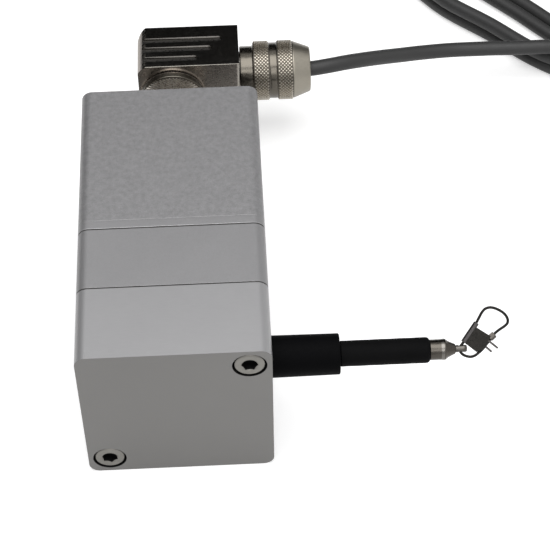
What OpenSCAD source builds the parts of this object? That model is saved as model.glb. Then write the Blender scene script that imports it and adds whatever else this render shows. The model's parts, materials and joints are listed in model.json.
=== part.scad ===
// Draw wire encoder: a wire drum with a return spring turns a rotary encoder
// inside a three-block square housing. The wire leaves through a nozzle on the
// right side and ends in a snap hook. A right-angled round connector on the
// rear face carries the cable. Millimetres, +Z up, origin in the middle of the
// base, which is the middle of the base hole pattern.

/* [Housing] */
// Width and height of the square section
body_w = 54; // [52:0.5:66]
// Length of the front block, which holds the wire drum
front_len = 24.4; // [24:0.2:34]
// Length of the middle block, which holds the return spring
spring_len = 22; // [22:0.5:34]
// Length of the rear block with its adapter plate, which hold the encoder
rear_len = 56.6; // [56:0.2:80]
// Radius of the four long edges
edge_r = 3.3; // [1:0.1:5]
// Thickness of the gaskets between the blocks
gasket_t = 0.4; // [0.2:0.1:1]
// How far the gaskets stay back from the outer faces
gasket_inset = 0.6; // [0.3:0.1:1]
// Thickness of the front wall, which seats the first bearing
front_wall = 4.5; // [4.2:0.1:6]
// Thickness of the wall between drum and spring
spring_wall = 5; // [4.2:0.1:7]
// Thickness of the adapter plate that carries the encoder
plate_t = 3; // [2.5:0.1:4]
// Thickness of the rear wall, which holds the connector
rear_wall = 4; // [3:0.1:5]

/* [Fasteners] */
// Thread diameter of the two long housing screws
screw_d = 5; // [4:0.5:6]
// Head diameter of the housing screws
screw_head_d = 8.5; // [8:0.1:9.5]
// Head height of the housing screws
screw_head_h = 5; // [4:0.1:6]
// Key size of the housing screws
screw_key = 4; // [3:0.5:5]
// Length of the housing screws under the head
screw_len = 60; // [58:1:70]
// Counterbore diameter for the housing screws
counterbore_d = 9.7; // [9.6:0.1:10.5]
// Distance of each housing screw from the two faces beside it
screw_inset = 6.25; // [6:0.05:7]
// Spacing of the base holes across the body
base_x = 24; // [20:1:30]
// Distance of the base holes from the end faces
base_end = 12.5; // [11:0.5:16]
// Tapping diameter of the base holes
base_hole_d = 3.3; // [2.5:0.1:4.2]
// Depth of the base holes
base_hole_depth = 5; // [3:0.5:5]

/* [Wire and drum] */
// Length of wire that one turn of the drum pays out
wire_turn = 60; // [55:1:72]
// Diameter of the measuring wire
wire_d = 0.5; // [0.4:0.05:0.7]
// Longest pull of the wire
wire_travel = 1000; // [500:10:1200]
// Gap between neighbouring turns on the drum
turn_gap = 0.1; // [0.05:0.01:0.2]
// Thickness of the drum flanges
flange_t = 1; // [0.8:0.1:2]
// Height of the drum flanges above the wire
flange_h = 2; // [1:0.1:3]

/* [Shafts and bearings] */
// Journal diameter of both shafts
shaft_d = 5; // [5:0.1:6]
// Diameter of the drum seat on the drum shaft
drum_seat_d = 8; // [7:0.5:9]
// Outside diameter of the bearings
bearing_d = 11; // [11:0.1:13]
// Width of the bearings
bearing_w = 3; // [2.5:0.1:3.5]

/* [Return spring] */
// Thickness of the spring band
band_t = 0.3; // [0.2:0.05:0.4]
// Width of the spring band
band_w = 11; // [9:0.5:11.5]
// Turns of the spring as it lies in its case
band_turns = 20; // [12:1:22]
// Radius of the outermost turn
band_r = 19; // [17:0.5:19.5]
// Diameter of the post that holds the outer end
post_d = 3; // [2:0.1:3.2]

/* [Encoder] */
// Diameter of the encoder's cap and base
encoder_d = 42; // [41:0.5:45]
// Diameter of the code disc
disc_d = 33; // [30:0.5:33]
// Radius of the ring of standoffs
standoff_r = 17; // [16:0.1:17.5]
// Outside diameter of the shaft coupling
coupling_d = 12; // [11:0.5:16]
// Length of the shaft coupling
coupling_len = 14; // [12:0.5:15]

/* [Nozzle and wire end] */
// Diameter of the nozzle at the housing
nozzle_d = 12; // [10:0.1:13]
// Length of the nozzle outside the housing
nozzle_len = 19.3; // [17:0.1:24]
// Diameter of the rubber bumper
bumper_d = 7.4; // [6.2:0.1:8.5]
// Length of the rubber bumper
bumper_len = 25.3; // [18:0.1:32]
// Largest diameter of the ferrule
ferrule_d = 6.1; // [5.4:0.1:7]

/* [Snap hook] */
// Diameter of the snap's spring wire
snap_d = 0.8; // [0.6:0.05:0.9]
// Bend radius at the snap's three corners
snap_bend = 2.2; // [2:0.05:2.6]
// Thickness of the clasp's sheet
clasp_t = 0.35; // [0.25:0.05:0.5]

/* [Connector] */
// Outside diameter of the coupling ring
ring_d = 21; // [19.6:0.1:22]
// Diameter of the socket's thread
socket_d = 16; // [15.6:0.1:16.4]
// Height of the elbow's body
elbow_h = 24.4; // [21.4:0.1:26]
// Largest diameter of the gland nut
gland_d = 19.5; // [18:0.1:21]
// Diameter of the cable
cable_d = 5; // [4:0.1:5.4]

/* [Hidden] */
$fn = 48;

// Fits: radial gaps unless a name says otherwise
slip = 0.05;       // a fixed piece in its seat
run = 0.1;         // a turning piece in its bore
loose = 0.3;       // pieces that must only clear each other
cut = 1;           // how far a cutting shape runs past a face

// Stations along the body
body_len = front_len + spring_len + rear_len;
shaft_z = body_w / 2;
y_front = -body_len / 2;
y_rear = body_len / 2;
y_seam1 = y_front + front_len;
y_spring = y_seam1 + gasket_t;
y_seam2 = y_seam1 + spring_len;
y_plate = y_seam2 + gasket_t;
y_case = y_plate + plate_t;
y_wall = y_rear - rear_wall;

// Wire drum
wire_r = wire_turn / (2 * PI);
turn_pitch = wire_d + turn_gap;
turns = ceil(wire_travel / wire_turn);
core_r = wire_r - wire_d / 2;
flange_r = wire_r + wire_d / 2 + flange_h;
core_len = (turns + 1) * turn_pitch;
drum_gap = 0.4;    // between the drum and the front wall
y_drum = y_front + front_wall + drum_gap;
y_core = y_drum + flange_t;
wire_y = y_core + core_len / 2;
wire_z = shaft_z + wire_r;
last_turn_y = y_core + core_len - turn_pitch;
drum_case_r = flange_r + 4.5;
hub_r = drum_seat_d / 2 + 4;
hub_len = 3.6;

// Shafts
collar_d = shaft_d + 1.6;
y_bearing1 = y_front + front_wall - bearing_w;
y_bearing2 = y_spring;
y_coupling = y_case + 1.7;
y_shafts_meet = y_coupling + coupling_len / 2;
shaft_end_gap = 0.8;

// Return spring
spring_case_r = 23;
y_spring_case = y_spring + spring_wall;
arbor_r = collar_d / 2 + 2.2;
y_arbor = y_spring_case + 0.5;
y_band = y_arbor + 0.7;
arbor_len = band_w + 1.4;
arbor_boss_len = 3;
band_in_r = arbor_r + 0.4;
post_x = band_r + band_t / 2 + post_d / 2 + 0.15;

// Encoder, from the plate back
base_t = 3;
base_hub_len = 6.5;
y_base = y_coupling + coupling_len + 2;
y_hub_end = y_base + base_t + base_hub_len;
y_bearing3 = y_base;
y_bearing4 = y_hub_end - bearing_w;
disc_hub_len = 2;
disc_t = 0.6;
y_disc = y_hub_end + 1 + disc_hub_len;
board_t = 1.6;
y_board = y_disc + disc_t + 1.7;
cap_wall = 0.8;
cap_end = y_board + board_t + 3.6;
encoder_case_r = encoder_d / 2 + 1.5;
post_r = encoder_d / 2 - 2.5;
pillar_d = 3;
bearing_ys = [y_bearing1, y_bearing2, y_bearing3, y_bearing4];

// Ball bearings
inner_land_r = shaft_d / 2 + 0.9;
outer_land_r = bearing_d / 2 - 0.9;
ball_path_r = (inner_land_r + outer_land_r) / 2;
ball_r = (outer_land_r - inner_land_r) / 2 + 0.2;
balls = 8;

// Wire end, along X from the right face
x_face = body_w / 2;
spigot_d = 8;
spigot_len = 8;
nozzle_tip_d = nozzle_d - 0.3;
bush_d = 6;
bush_len = 6;
wiper_len = 6;
x_nozzle_end = x_face + nozzle_len;
x_bumper = x_nozzle_end + 0.2;
x_ferrule = x_bumper + bumper_len;
ferrule_len = 7.3;
ferrule_tip_d = 2.9;
stem_d = 1.7;
x_tab = x_ferrule + ferrule_len + 0.2;
x_eye = x_tab + 1.2;
tab_t = 2;
tab_w = 2.2;
eye_hole_d = snap_d + 0.6;
snap_tilt = 37.3;  // turn of the snap's plane about the wire

// Snap hook: bend centres from the eye, in the snap's own plane, anticlockwise
snap_corners = [[snap_bend - 0.2, -0.1], [11.75, 7.6], [8.9, 9]];

// Connector, along Y from the rear face
pin_circle_r = 3.6;
pin_d = 1;
pins = 8;
core_d = 0.8;
y_flange = y_rear + 0.6;
flange_len = 2.5;
y_shell_end = y_flange + flange_len + 8.4;
shell_d = socket_d - 0.4;
shell_wall = 1.1;
sleeve_d = shell_d - 2 * shell_wall - 2 * run;
sleeve_wall = 0.6;
insert_d = sleeve_d - 2 * sleeve_wall - 2 * slip;
y_collar = y_shell_end + 1;
collar_len = 2.5;
ring_wall = 1;
neck_d = ring_d - 5;
y_ring = y_flange + flange_len + 2.9;
y_ring_end = y_rear + 25.2;
y_elbow = y_ring_end + 0.3;
elbow_len = 19.4;
elbow_left = 11;
elbow_right = 22;
elbow_round = 5;
elbow_edge = 3;
y_gland = y_elbow + elbow_len / 2 - 0.4;
groove_d = 1.7;
groove_depth = 0.7;
groove_right = [[15.6, 3.2], [12.1, -1.1], [7.5, -5.6]];
x_gland = elbow_right + 0.3;
gland_neck_d = gland_d - 2.9;
gland_neck_len = 4.3;
gland_band = 5.4;
gland_groove = 2.4;
gland_cone = 5.6;
gland_tip_d = 14.5;
gland_len = gland_neck_len + 2 * gland_band + gland_groove + gland_cone;
gland_spigot_d = 13;
gland_spigot_len = 8;
gland_case_d = 11;
seal_len = 5.6;
clamp_len = 5;

// Cable: the run from the gland to the loops, points chosen by hand
cable_run = [
    [45.4, 86.3, 27], [51.5, 87.3, 27], [57.5, 89.3, 26.3], [63.5, 92.2, 24.5],
    [70, 96.1, 21.6], [77, 100.2, 18.4], [85, 104, 15.6], [95, 106.8, 13.6],
    [106, 107.6, 12.9], [118, 107.4, 12.9], [130, 107.2, 12.9], [143, 107.6, 10.9],
    [156, 110, 8.8], [168, 115.4, 7.8], [178, 124, 6], [184.6, 134.6, 3.6]
];
// The cable keeps its lie and moves over the surface with the gland; its start rises with the gland
cable_shift = [x_gland + gland_len - cable_run[0][0], y_gland - cable_run[0][1]];
cable_rise = (shaft_z - cable_run[0][2]) / (cable_run[0][2] - cable_d / 2);
// Loops: an oblong hank lying on the surface, turned 45 degrees
loops_at = [114.9, 123.2];
loops_turn = 45;
loops_mid = [-4, 45.9];
loops_half = 24;
loops_in_r = 21;
loops_out_r = 49.3;
loops_h = 5.3;
// Where one strand rides on another along the near side
ridge_w = 7;
ridge_h = 10.2;
tie_w = 5;
tie_t = 1;
tie_at = 8;        // along the far side, from its middle
tie_from = 22.6;   // from the middle of the hank to the tie's inner side
tie_span = 26.6;
// Bare end of the cable, beside the far side of the hank
lead_from = [0, 46.5];
lead_turn = 172;
lead_d = 0.9;
lead_fan = 1.6;
lead_sleeve_d = cable_d + 0.6;
lead_len = 18;
lead_tip_len = 4;
lead_sleeve_len = 12;
leads = 8;

// ---- shapes used by several pieces ----

module bar_x(len, d, bore = 0) {
    rotate([0, 90, 0]) pipe(len, d, bore);
}

module bar_y(len, d, bore = 0) {
    rotate([-90, 0, 0]) pipe(len, d, bore);
}

module pipe(len, d, bore) {
    difference() {
        cylinder(h = len, d = d);
        if (bore > 0)
            translate([0, 0, -cut]) cylinder(h = len + 2 * cut, d = bore);
    }
}

module on_shaft(y) {
    translate([0, y, shaft_z]) children();
}

module on_wire(x) {
    translate([x, wire_y, wire_z]) children();
}

module on_gland(x) {
    translate([x, y_gland, shaft_z]) children();
}

module around(count, r) {
    for (i = [0:count - 1])
        rotate([0, 360 / count * i, 0]) translate([0, 0, r]) children();
}

module rounded_square(w, r) {
    square([w, w - 2 * r], center = true);
    square([w - 2 * r, w], center = true);
    for (x = [-1, 1], y = [-1, 1])
        translate([x, y] * (w / 2 - r)) circle(r = r);
}

module block(y, len, inset = 0) {
    on_shaft(y) rotate([-90, 0, 0])
        linear_extrude(len) rounded_square(body_w - 2 * inset, edge_r - inset);
}

module at_screws(y) {
    for (side = [-1, 1])
        translate([side * (body_w / 2 - screw_inset), y,
            shaft_z + side * (body_w / 2 - screw_inset)]) children();
}

module base_holes(y) {
    for (x = [-base_x / 2, base_x / 2])
        translate([x, y, -cut]) cylinder(h = base_hole_depth + cut, d = base_hole_d);
}

// A grub screw standing out from the shaft at radius r
module grub_screw(y, r, len, d) {
    on_shaft(y) translate([0, 0, r]) difference() {
        cylinder(h = len, d = d);
        translate([0, 0, len / 2]) cylinder(h = len, d = d / 2, $fn = 6);
    }
}

// ---- smooth sweeps for soft wires and cables ----

function unit(v) = v / norm(v);

// A smooth curve through points, with steps between each pair
function blend_point(a, b, c, d, t) =
    0.5 * (2 * b + (c - a) * t + (2 * a - 5 * b + 4 * c - d) * t * t
    + (3 * b - a - 3 * c + d) * t * t * t);

function smooth(points, steps) = [
    for (i = [0:len(points) - 2], k = [0:steps - 1])
        blend_point(points[max(i - 1, 0)], points[i], points[i + 1],
            points[min(i + 2, len(points) - 1)], k / steps),
    points[len(points) - 1]
];

function heading(points, i) =
    unit(points[min(i + 1, len(points) - 1)] - points[max(i - 1, 0)]);

// One ring of a sweep: up is never along the path
function sweep_ring(centre, ahead, up, r, sides) =
    let (side = unit(cross(ahead, up)), top = cross(side, ahead))
    [for (k = [0:sides - 1])
        centre + r * (side * cos(360 / sides * k) + top * sin(360 / sides * k))];

module sweep(points, d, sides, up = [0, 0, 1]) {
    last = len(points) - 1;
    vertices = [for (i = [0:last])
        each sweep_ring(points[i], heading(points, i), up, d / 2, sides)];
    polyhedron(vertices, [
        [for (k = [0:sides - 1]) k],
        for (i = [0:last - 1], k = [0:sides - 1])
            let (n = (k + 1) % sides, a = i * sides, b = a + sides)
            [a + k, b + k, b + n, a + n],
        [for (k = [0:sides - 1]) last * sides + sides - 1 - k]
    ]);
}

// ---- housing ----

module drum_housing() {
    color("silver") difference() {
        block(y_front, front_len);
        on_shaft(y_front + front_wall) bar_y(front_len, 2 * drum_case_r);
        on_shaft(y_bearing1) bar_y(bearing_w + cut, bearing_d);
        at_screws(y_front - cut) bar_y(screw_head_h + loose + cut, counterbore_d);
        at_screws(y_front - cut) bar_y(front_len + 2 * cut, screw_d + 2 * loose);
        on_wire(0) bar_x(x_face, 5);
        on_wire(x_face - spigot_len - slip) bar_x(x_face, spigot_d + 2 * slip);
        base_holes(y_front + base_end);
    }
}

module gasket(y, bore) {
    difference() {
        block(y, gasket_t, gasket_inset);
        on_shaft(y - cut) bar_y(gasket_t + 2 * cut, bore);
        at_screws(y - cut) bar_y(gasket_t + 2 * cut, screw_d + 2 * loose);
    }
}

module front_gasket() {
    color("dimgray") gasket(y_seam1, 2 * drum_case_r);
}

module rear_gasket() {
    color("dimgray") gasket(y_seam2, 2 * spring_case_r);
}

module spring_housing() {
    color("silver") difference() {
        block(y_spring, spring_len - gasket_t);
        on_shaft(y_spring - cut) bar_y(bearing_w + cut, bearing_d);
        on_shaft(y_spring) bar_y(spring_wall + cut, collar_d + 2 * loose);
        on_shaft(y_spring_case) bar_y(spring_len, 2 * spring_case_r);
        translate([post_x, y_spring_case - 3, shaft_z]) bar_y(spring_len, post_d + 2 * slip);
        at_screws(y_spring - cut) bar_y(spring_len + cut, screw_d + 2 * loose);
    }
}

module adapter_plate() {
    color("silver") difference() {
        block(y_plate, plate_t);
        on_shaft(y_plate - cut) bar_y(plate_t + 2 * cut, shaft_d + 4 * loose);
        on_shaft(y_case - 2.6) around(3, standoff_r) bar_y(plate_t, 3 + 2 * slip);
        at_screws(y_plate - cut) bar_y(plate_t + 2 * cut, screw_d + 2 * loose);
    }
}

module encoder_housing() {
    color("silver") difference() {
        block(y_case, y_rear - y_case);
        on_shaft(y_case - cut) bar_y(y_wall - y_case + cut, 2 * encoder_case_r);
        on_shaft(y_wall - cut) bar_y(rear_wall + 2 * cut, socket_d + 4 * slip);
        at_screws(y_case - cut)
            bar_y(y_front + screw_len + screw_head_h - y_case + 2 + cut, screw_d + 2 * slip);
        base_holes(y_rear - base_end);
    }
}

module housing_screws() {
    color("gray") for (turn = [0, 1])
        at_screw(turn) difference() {
            union() {
                bar_y(screw_head_h, screw_head_d);
                bar_y(screw_head_h + screw_len, screw_d);
            }
            rotate([0, 20 * turn, 0]) translate([0, -cut, 0]) rotate([-90, 0, 0])
                cylinder(h = screw_head_h / 2 + cut, d = screw_key * 2 / sqrt(3), $fn = 6);
        }
}

// One of the two long screws: 0 is the upper right one, 1 the lower left one
module at_screw(index) {
    a = (body_w / 2 - screw_inset) * (1 - 2 * index);
    translate([a, y_front + loose, shaft_z + a]) children();
}

// ---- bearings ----

module race(y, r_in, r_out) {
    on_shaft(y) rotate([-90, 0, 0]) rotate_extrude() difference() {
        translate([r_in, 0]) square([r_out - r_in, bearing_w]);
        translate([ball_path_r, bearing_w / 2]) circle(r = ball_r + slip);
    }
}

module bearing_outer_rings() {
    color("lightgray") for (y = bearing_ys)
        race(y, outer_land_r, bearing_d / 2 - slip / 2);
}

module bearing_inner_rings() {
    color("lightgray") for (y = bearing_ys)
        race(y, shaft_d / 2 + slip / 2, inner_land_r);
}

module bearing_balls() {
    color("white") for (y = bearing_ys)
        on_shaft(y + bearing_w / 2) around(balls, ball_path_r) sphere(r = ball_r, $fn = 24);
}

// ---- drum and its shaft ----

module wire_drum() {
    color("gainsboro") difference() {
        union() {
            on_shaft(y_drum) bar_y(flange_t, 2 * flange_r);
            on_shaft(y_drum) bar_y(2 * flange_t + core_len, 2 * core_r);
            on_shaft(y_core + core_len) bar_y(flange_t, 2 * flange_r);
            on_shaft(y_core + core_len) bar_y(flange_t + hub_len, 2 * hub_r);
        }
        on_shaft(y_drum - cut) bar_y(core_len + 3 * hub_len, drum_seat_d + slip);
        on_shaft(y_core + core_len + flange_t + hub_len / 2) cylinder(h = hub_r + cut, d = 2.5 + slip);
    }
}

module drum_shaft() {
    y_start = y_bearing1 + drum_gap;
    y_seat = y_front + front_wall;
    color("lightgray") {
        on_shaft(y_start) bar_y(y_seat - y_start, shaft_d);
        on_shaft(y_seat) bar_y(drum_gap, collar_d);
        on_shaft(y_seat + drum_gap) bar_y(y_spring - 0.7 - y_seat - drum_gap, drum_seat_d);
        on_shaft(y_spring - 0.7) bar_y(0.7, collar_d);
        on_shaft(y_spring) bar_y(y_shafts_meet - shaft_end_gap / 2 - y_spring, shaft_d);
    }
}

module wire_winding() {
    color("darkgray") on_shaft(y_core) rotate([-90, 0, 0]) rotate_extrude() {
        translate([core_r + slip, turn_pitch / 2]) square([wire_d / 2, core_len - turn_pitch]);
        for (i = [1:turns])
            translate([wire_r + slip, i * turn_pitch]) circle(d = wire_d, $fn = 16);
    }
}

// ---- return spring ----

module spring_post() {
    color("lightgray") translate([post_x, y_spring_case - 3 + slip, shaft_z])
        bar_y(3 + band_w + 3, post_d);
}

function band_point(i, steps, side) =
    let (a = 360 * band_turns * i / steps,
        r = band_in_r + (band_r - band_in_r) * i / steps + side * band_t / 2)
    r * [cos(a), sin(a)];

module spiral_spring() {
    steps = band_turns * 20;
    color("slategray") on_shaft(y_band) rotate([-90, 0, 0]) linear_extrude(band_w) {
        polygon([
            for (i = [0:steps]) band_point(i, steps, 1),
            for (i = [steps:-1:0]) band_point(i, steps, -1)
        ]);
        translate([band_in_r - 2, -band_t / 2]) square([2, band_t]);
        translate([post_x, 0]) difference() {
            circle(d = post_d + 0.3 + 2 * band_t);
            circle(d = post_d + 0.3);
        }
    }
}

module spring_arbor() {
    y_nose = y_bearing2 + bearing_w;
    color("gainsboro") difference() {
        union() {
            on_shaft(y_nose) bar_y(y_arbor - y_nose, collar_d);
            on_shaft(y_arbor) bar_y(arbor_len, 2 * arbor_r);
            on_shaft(y_arbor + arbor_len) bar_y(arbor_boss_len, 2 * arbor_r - 1);
        }
        on_shaft(y_nose - cut) bar_y(spring_len, shaft_d + slip);
        translate([shaft_d / 2 + 0.6, y_band - 0.3, shaft_z - 0.4])
            cube([arbor_r, band_w + 0.6, 0.8]);
        on_shaft(y_arbor + arbor_len + arbor_boss_len / 2) cylinder(h = arbor_r + cut, d = 2 + slip);
    }
}

// ---- encoder ----

module shaft_coupling() {
    color("lightgray") difference() {
        on_shaft(y_coupling) bar_y(coupling_len, coupling_d, shaft_d + slip);
        for (i = [0:3])
            on_shaft(y_coupling + coupling_len / 2 - 1.8 + 1.2 * i)
                rotate([0, 90 * i, 0]) translate([-coupling_d, -0.2, -1])
                    cube([2 * coupling_d, 0.4, coupling_d]);
        for (y = [2.2, coupling_len - 2.2])
            on_shaft(y_coupling + y) cylinder(h = coupling_d, d = 2 + slip);
    }
}

module encoder_shaft() {
    color("lightgray") {
        on_shaft(y_shafts_meet + shaft_end_gap / 2)
            bar_y(y_disc - y_shafts_meet - shaft_end_gap / 2, shaft_d);
        on_shaft(y_bearing3 + bearing_w) bar_y(y_bearing4 - y_bearing3 - bearing_w, collar_d);
    }
}

module disc_hub() {
    color("gainsboro") on_shaft(y_disc - disc_hub_len) bar_y(disc_hub_len, 12, shaft_d + slip);
}

module code_disc() {
    color("lightblue") on_shaft(y_disc) bar_y(disc_t, disc_d, shaft_d);
}

module set_screws() {
    color("dimgray") {
        grub_screw(y_core + core_len + flange_t + hub_len / 2, drum_seat_d / 2, 4, 2.5);
        grub_screw(y_arbor + arbor_len + arbor_boss_len / 2, shaft_d / 2, 2.4, 2);
        for (y = [2.2, coupling_len - 2.2])
            grub_screw(y_coupling + y, shaft_d / 2, 3, 2);
    }
}

module encoder_base() {
    color("gainsboro") difference() {
        union() {
            on_shaft(y_base) bar_y(base_t, encoder_d);
            on_shaft(y_base) bar_y(base_t + base_hub_len, bearing_d + 4);
            on_shaft(y_base) rotate([0, 60, 0]) around(3, post_r)
                bar_y(y_board - y_base, pillar_d);
        }
        on_shaft(y_base - cut) bar_y(bearing_w + cut, bearing_d);
        on_shaft(y_base) bar_y(base_t + base_hub_len, bearing_d - 2);
        on_shaft(y_bearing4) bar_y(bearing_w + cut, bearing_d);
        on_shaft(y_base - cut) around(3, standoff_r) bar_y(base_t + 2 * cut, 3 + 2 * slip);
        on_shaft(y_board - 4) rotate([0, 60, 0]) around(3, post_r) bar_y(4 + cut, 1.6 + 2 * slip);
    }
}

module standoffs() {
    color("goldenrod") on_shaft(y_case) around(3, standoff_r) difference() {
        union() {
            rotate([-90, 0, 0]) cylinder(h = y_base - y_case, d = 6, $fn = 6);
            translate([0, -2.5, 0]) bar_y(3, 3);
        }
        translate([0, y_base - y_case - 5, 0]) bar_y(5 + cut, 3 + 2 * slip);
    }
}

module cap_screw(len, d, head_d, head_h) {
    difference() {
        union() {
            bar_y(len, d);
            translate([0, len, 0]) bar_y(head_h, head_d);
        }
        translate([0, len + head_h / 2, 0]) bar_y(head_h, d / 2);
    }
}

module encoder_screws() {
    color("silver") on_shaft(y_base + base_t - 7) around(3, standoff_r) cap_screw(7, 3, 5.4, 1.8);
}

module encoder_board() {
    color("darkgreen") difference() {
        on_shaft(y_board) bar_y(board_t, encoder_d - 2 * cap_wall - 1);
        on_shaft(y_board - cut) rotate([0, 60, 0]) around(3, post_r)
            bar_y(board_t + 2 * cut, 1.6 + 2 * slip);
    }
}

module board_screws() {
    color("silver") on_shaft(y_board + board_t - 5) rotate([0, 60, 0]) around(3, post_r)
        cap_screw(5, 1.6, 3, 1);
}

module board_chips() {
    color("black") {
        on_shaft(y_board + board_t) translate([-4, 0, -14]) cube([8, 1.2, 6]);
        on_shaft(y_board + board_t) translate([6, 0, -4]) cube([5, 1, 8]);
        on_shaft(y_board + board_t) translate([-13, 0, -3]) cube([4, 1, 6]);
        on_shaft(y_board + board_t) bar_y(1.6, 9);
    }
}

module light_source() {
    y_lamp = y_base + base_t;
    color("dimgray") on_shaft(y_lamp) translate([-3, 0, -disc_d / 2 + 1])
        cube([6, y_disc - y_lamp - 0.8, 5]);
}

module optical_reader() {
    color("black") on_shaft(y_disc + disc_t + 0.5) translate([-4, 0, -disc_d / 2 + 1])
        cube([8, y_board - y_disc - disc_t - 0.5, 5]);
}

module encoder_cap() {
    y_cap = y_base + base_t;
    color("dimgray") difference() {
        on_shaft(y_cap) bar_y(cap_end - y_cap, encoder_d);
        on_shaft(y_cap - cut) bar_y(cap_end - y_cap - cap_wall + cut, encoder_d - 2 * cap_wall);
        on_shaft(y_cap) bar_y(cap_end, 10);
    }
}

// ---- wires inside ----

function on_circle(r, i, count) = [r * cos(360 / count * (i + 0.5)), r * sin(360 / count * (i + 0.5))];

module inner_wires() {
    y_from = y_board + board_t + 1.6;
    y_to = y_wall - 7.5;
    color("orange") for (i = [0:pins - 1]) {
        a = on_circle(2.6, i, pins);
        b = on_circle(pin_circle_r, i, pins);
        sweep(smooth([
            [a[0], y_from, shaft_z + a[1]], [a[0], y_from + 1.6, shaft_z + a[1]],
            [b[0], y_to - 1.6, shaft_z + b[1]], [b[0], y_to, shaft_z + b[1]]
        ], 3), core_d, 8);
    }
}

module cable_cores() {
    y_from = y_elbow - 2;
    color("orange") for (i = [0:pins - 1]) {
        a = on_circle(pin_circle_r, i, pins);
        b = on_circle(1.6, i, pins);
        sweep(smooth([
            [a[0], y_from, shaft_z + a[1]], [a[0], y_from + 3, shaft_z + a[1]],
            [b[0] + 1.2, y_gland - 4 - b[0], shaft_z + (a[1] + b[1]) / 2],
            [5.2, y_gland - b[0] * 0.8, shaft_z + b[1]],
            [14, y_gland - b[0], shaft_z + b[1]], [24, y_gland - b[0], shaft_z + b[1]]
        ], 4), core_d, 8, unit([0.3, 0.3, 1]));
    }
}

// ---- connector: socket on the rear wall ----

module connector_socket() {
    y_back = y_wall - 4;
    color("lightgray") difference() {
        union() {
            on_shaft(y_back) bar_y(y_flange - y_back, socket_d);
            on_shaft(y_flange) bar_y(flange_len, ring_d + 2);
            on_shaft(y_flange) bar_y(y_shell_end - y_flange, shell_d);
        }
        on_shaft(y_back - cut) bar_y(y_shell_end - y_back, insert_d + 2 * slip);
        on_shaft(y_flange + flange_len) bar_y(y_shell_end, shell_d - 2 * shell_wall);
    }
}

module socket_gasket() {
    color("black") on_shaft(y_rear) bar_y(y_flange - y_rear, ring_d + 1, socket_d + 2 * slip);
}

module socket_nut() {
    color("lightgray") on_shaft(y_wall - 3) difference() {
        rotate([-90, 0, 0]) cylinder(h = 3, d = 19 * 2 / sqrt(3), $fn = 6);
        translate([0, -cut, 0]) bar_y(3 + 2 * cut, socket_d + 2 * slip);
    }
}

module contact_holes(y, len, d) {
    for (i = [0:pins - 1]) {
        p = on_circle(pin_circle_r, i, pins);
        translate([p[0], y, shaft_z + p[1]]) bar_y(len, d);
    }
}

module socket_insert() {
    y_insert = y_wall - 3;
    color("black") difference() {
        on_shaft(y_insert) bar_y(y_flange + flange_len - y_insert, insert_d);
        contact_holes(y_insert - cut, 20, pin_d + 2 * slip);
    }
}

module contact_pins() {
    color("gold") {
        contact_holes(y_wall - 7.5, y_shell_end - 2.5 - y_wall + 7.5, pin_d);
        contact_holes(y_wall - 7.5, 4, pin_d + 0.4);
    }
}

// ---- connector: right-angled plug ----

module plug_sleeve() {
    color("lightgray") difference() {
        union() {
            on_shaft(y_flange + flange_len + 0.8) bar_y(y_elbow - y_flange - flange_len, sleeve_d);
            on_shaft(y_collar) bar_y(collar_len, ring_d - 2 * ring_wall - 0.4);
            on_shaft(y_collar) bar_y(y_elbow + 6 - y_collar, neck_d);
        }
        on_shaft(y_flange) bar_y(y_elbow, insert_d + 2 * slip);
    }
}

module plug_insert() {
    y_insert = y_flange + flange_len + 1.2;
    color("black") difference() {
        on_shaft(y_insert) bar_y(16, insert_d);
        contact_holes(y_insert - cut, 18, pin_d + 0.9);
    }
}

module plug_contacts() {
    y_insert = y_flange + flange_len + 2.2;
    color("gold") difference() {
        contact_holes(y_insert, y_elbow - 2 - y_insert, pin_d + 0.8);
        contact_holes(y_insert - cut, 8 + cut, pin_d + 0.2);
    }
}

module coupling_ring() {
    color("lightgray") difference() {
        on_shaft(y_ring) bar_y(y_ring_end - y_ring, ring_d);
        on_shaft(y_ring - cut) bar_y(y_ring_end, socket_d);
        on_shaft(y_collar - 0.2) bar_y(collar_len + 0.4, ring_d - 2 * ring_wall);
    }
    color("lightgray") on_shaft(y_collar + collar_len + 0.2)
        bar_y(y_ring_end - y_collar - collar_len - 0.2, ring_d, neck_d + 2 * run);
}

module elbow_plan() {
    difference() {
        translate([-elbow_left, y_elbow]) square([elbow_left + elbow_right, elbow_len]);
        translate([-elbow_left, y_elbow + elbow_len]) corner_cut(elbow_round, -1);
    }
}

// Takes a square corner off to a round one; the corner is at the origin
module corner_cut(r, way) {
    difference() {
        translate([-cut, way > 0 ? -cut : -r]) square([r + cut, r + cut]);
        translate([r, way * r]) circle(r = r);
    }
}

module elbow_side() {
    difference() {
        translate([-elbow_left, -elbow_h / 2]) square([elbow_left + elbow_right, elbow_h]);
        translate([-elbow_left, elbow_h / 2]) corner_cut(elbow_edge, -1);
        translate([-elbow_left, -elbow_h / 2]) corner_cut(elbow_edge, 1);
    }
}

module elbow_housing() {
    color("dimgray") difference() {
        union() {
            intersection() {
                translate([0, 0, shaft_z - elbow_h / 2]) linear_extrude(elbow_h) elbow_plan();
                translate([0, y_elbow + elbow_len, shaft_z]) rotate([90, 0, 0])
                    linear_extrude(elbow_len) elbow_side();
            }
            on_gland(elbow_right - cut) bar_x(gland_spigot_len + cut, gland_spigot_d);
        }
        on_shaft(y_elbow - cut) bar_y(6 + slip + cut, neck_d + 2 * slip);
        on_shaft(y_elbow) bar_y(elbow_len - 3, insert_d);
        on_gland(0) bar_x(elbow_right + gland_spigot_len + cut, 9);
        for (g = groove_right) elbow_groove(g[0], y_gland + g[1]);
    }
}

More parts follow.
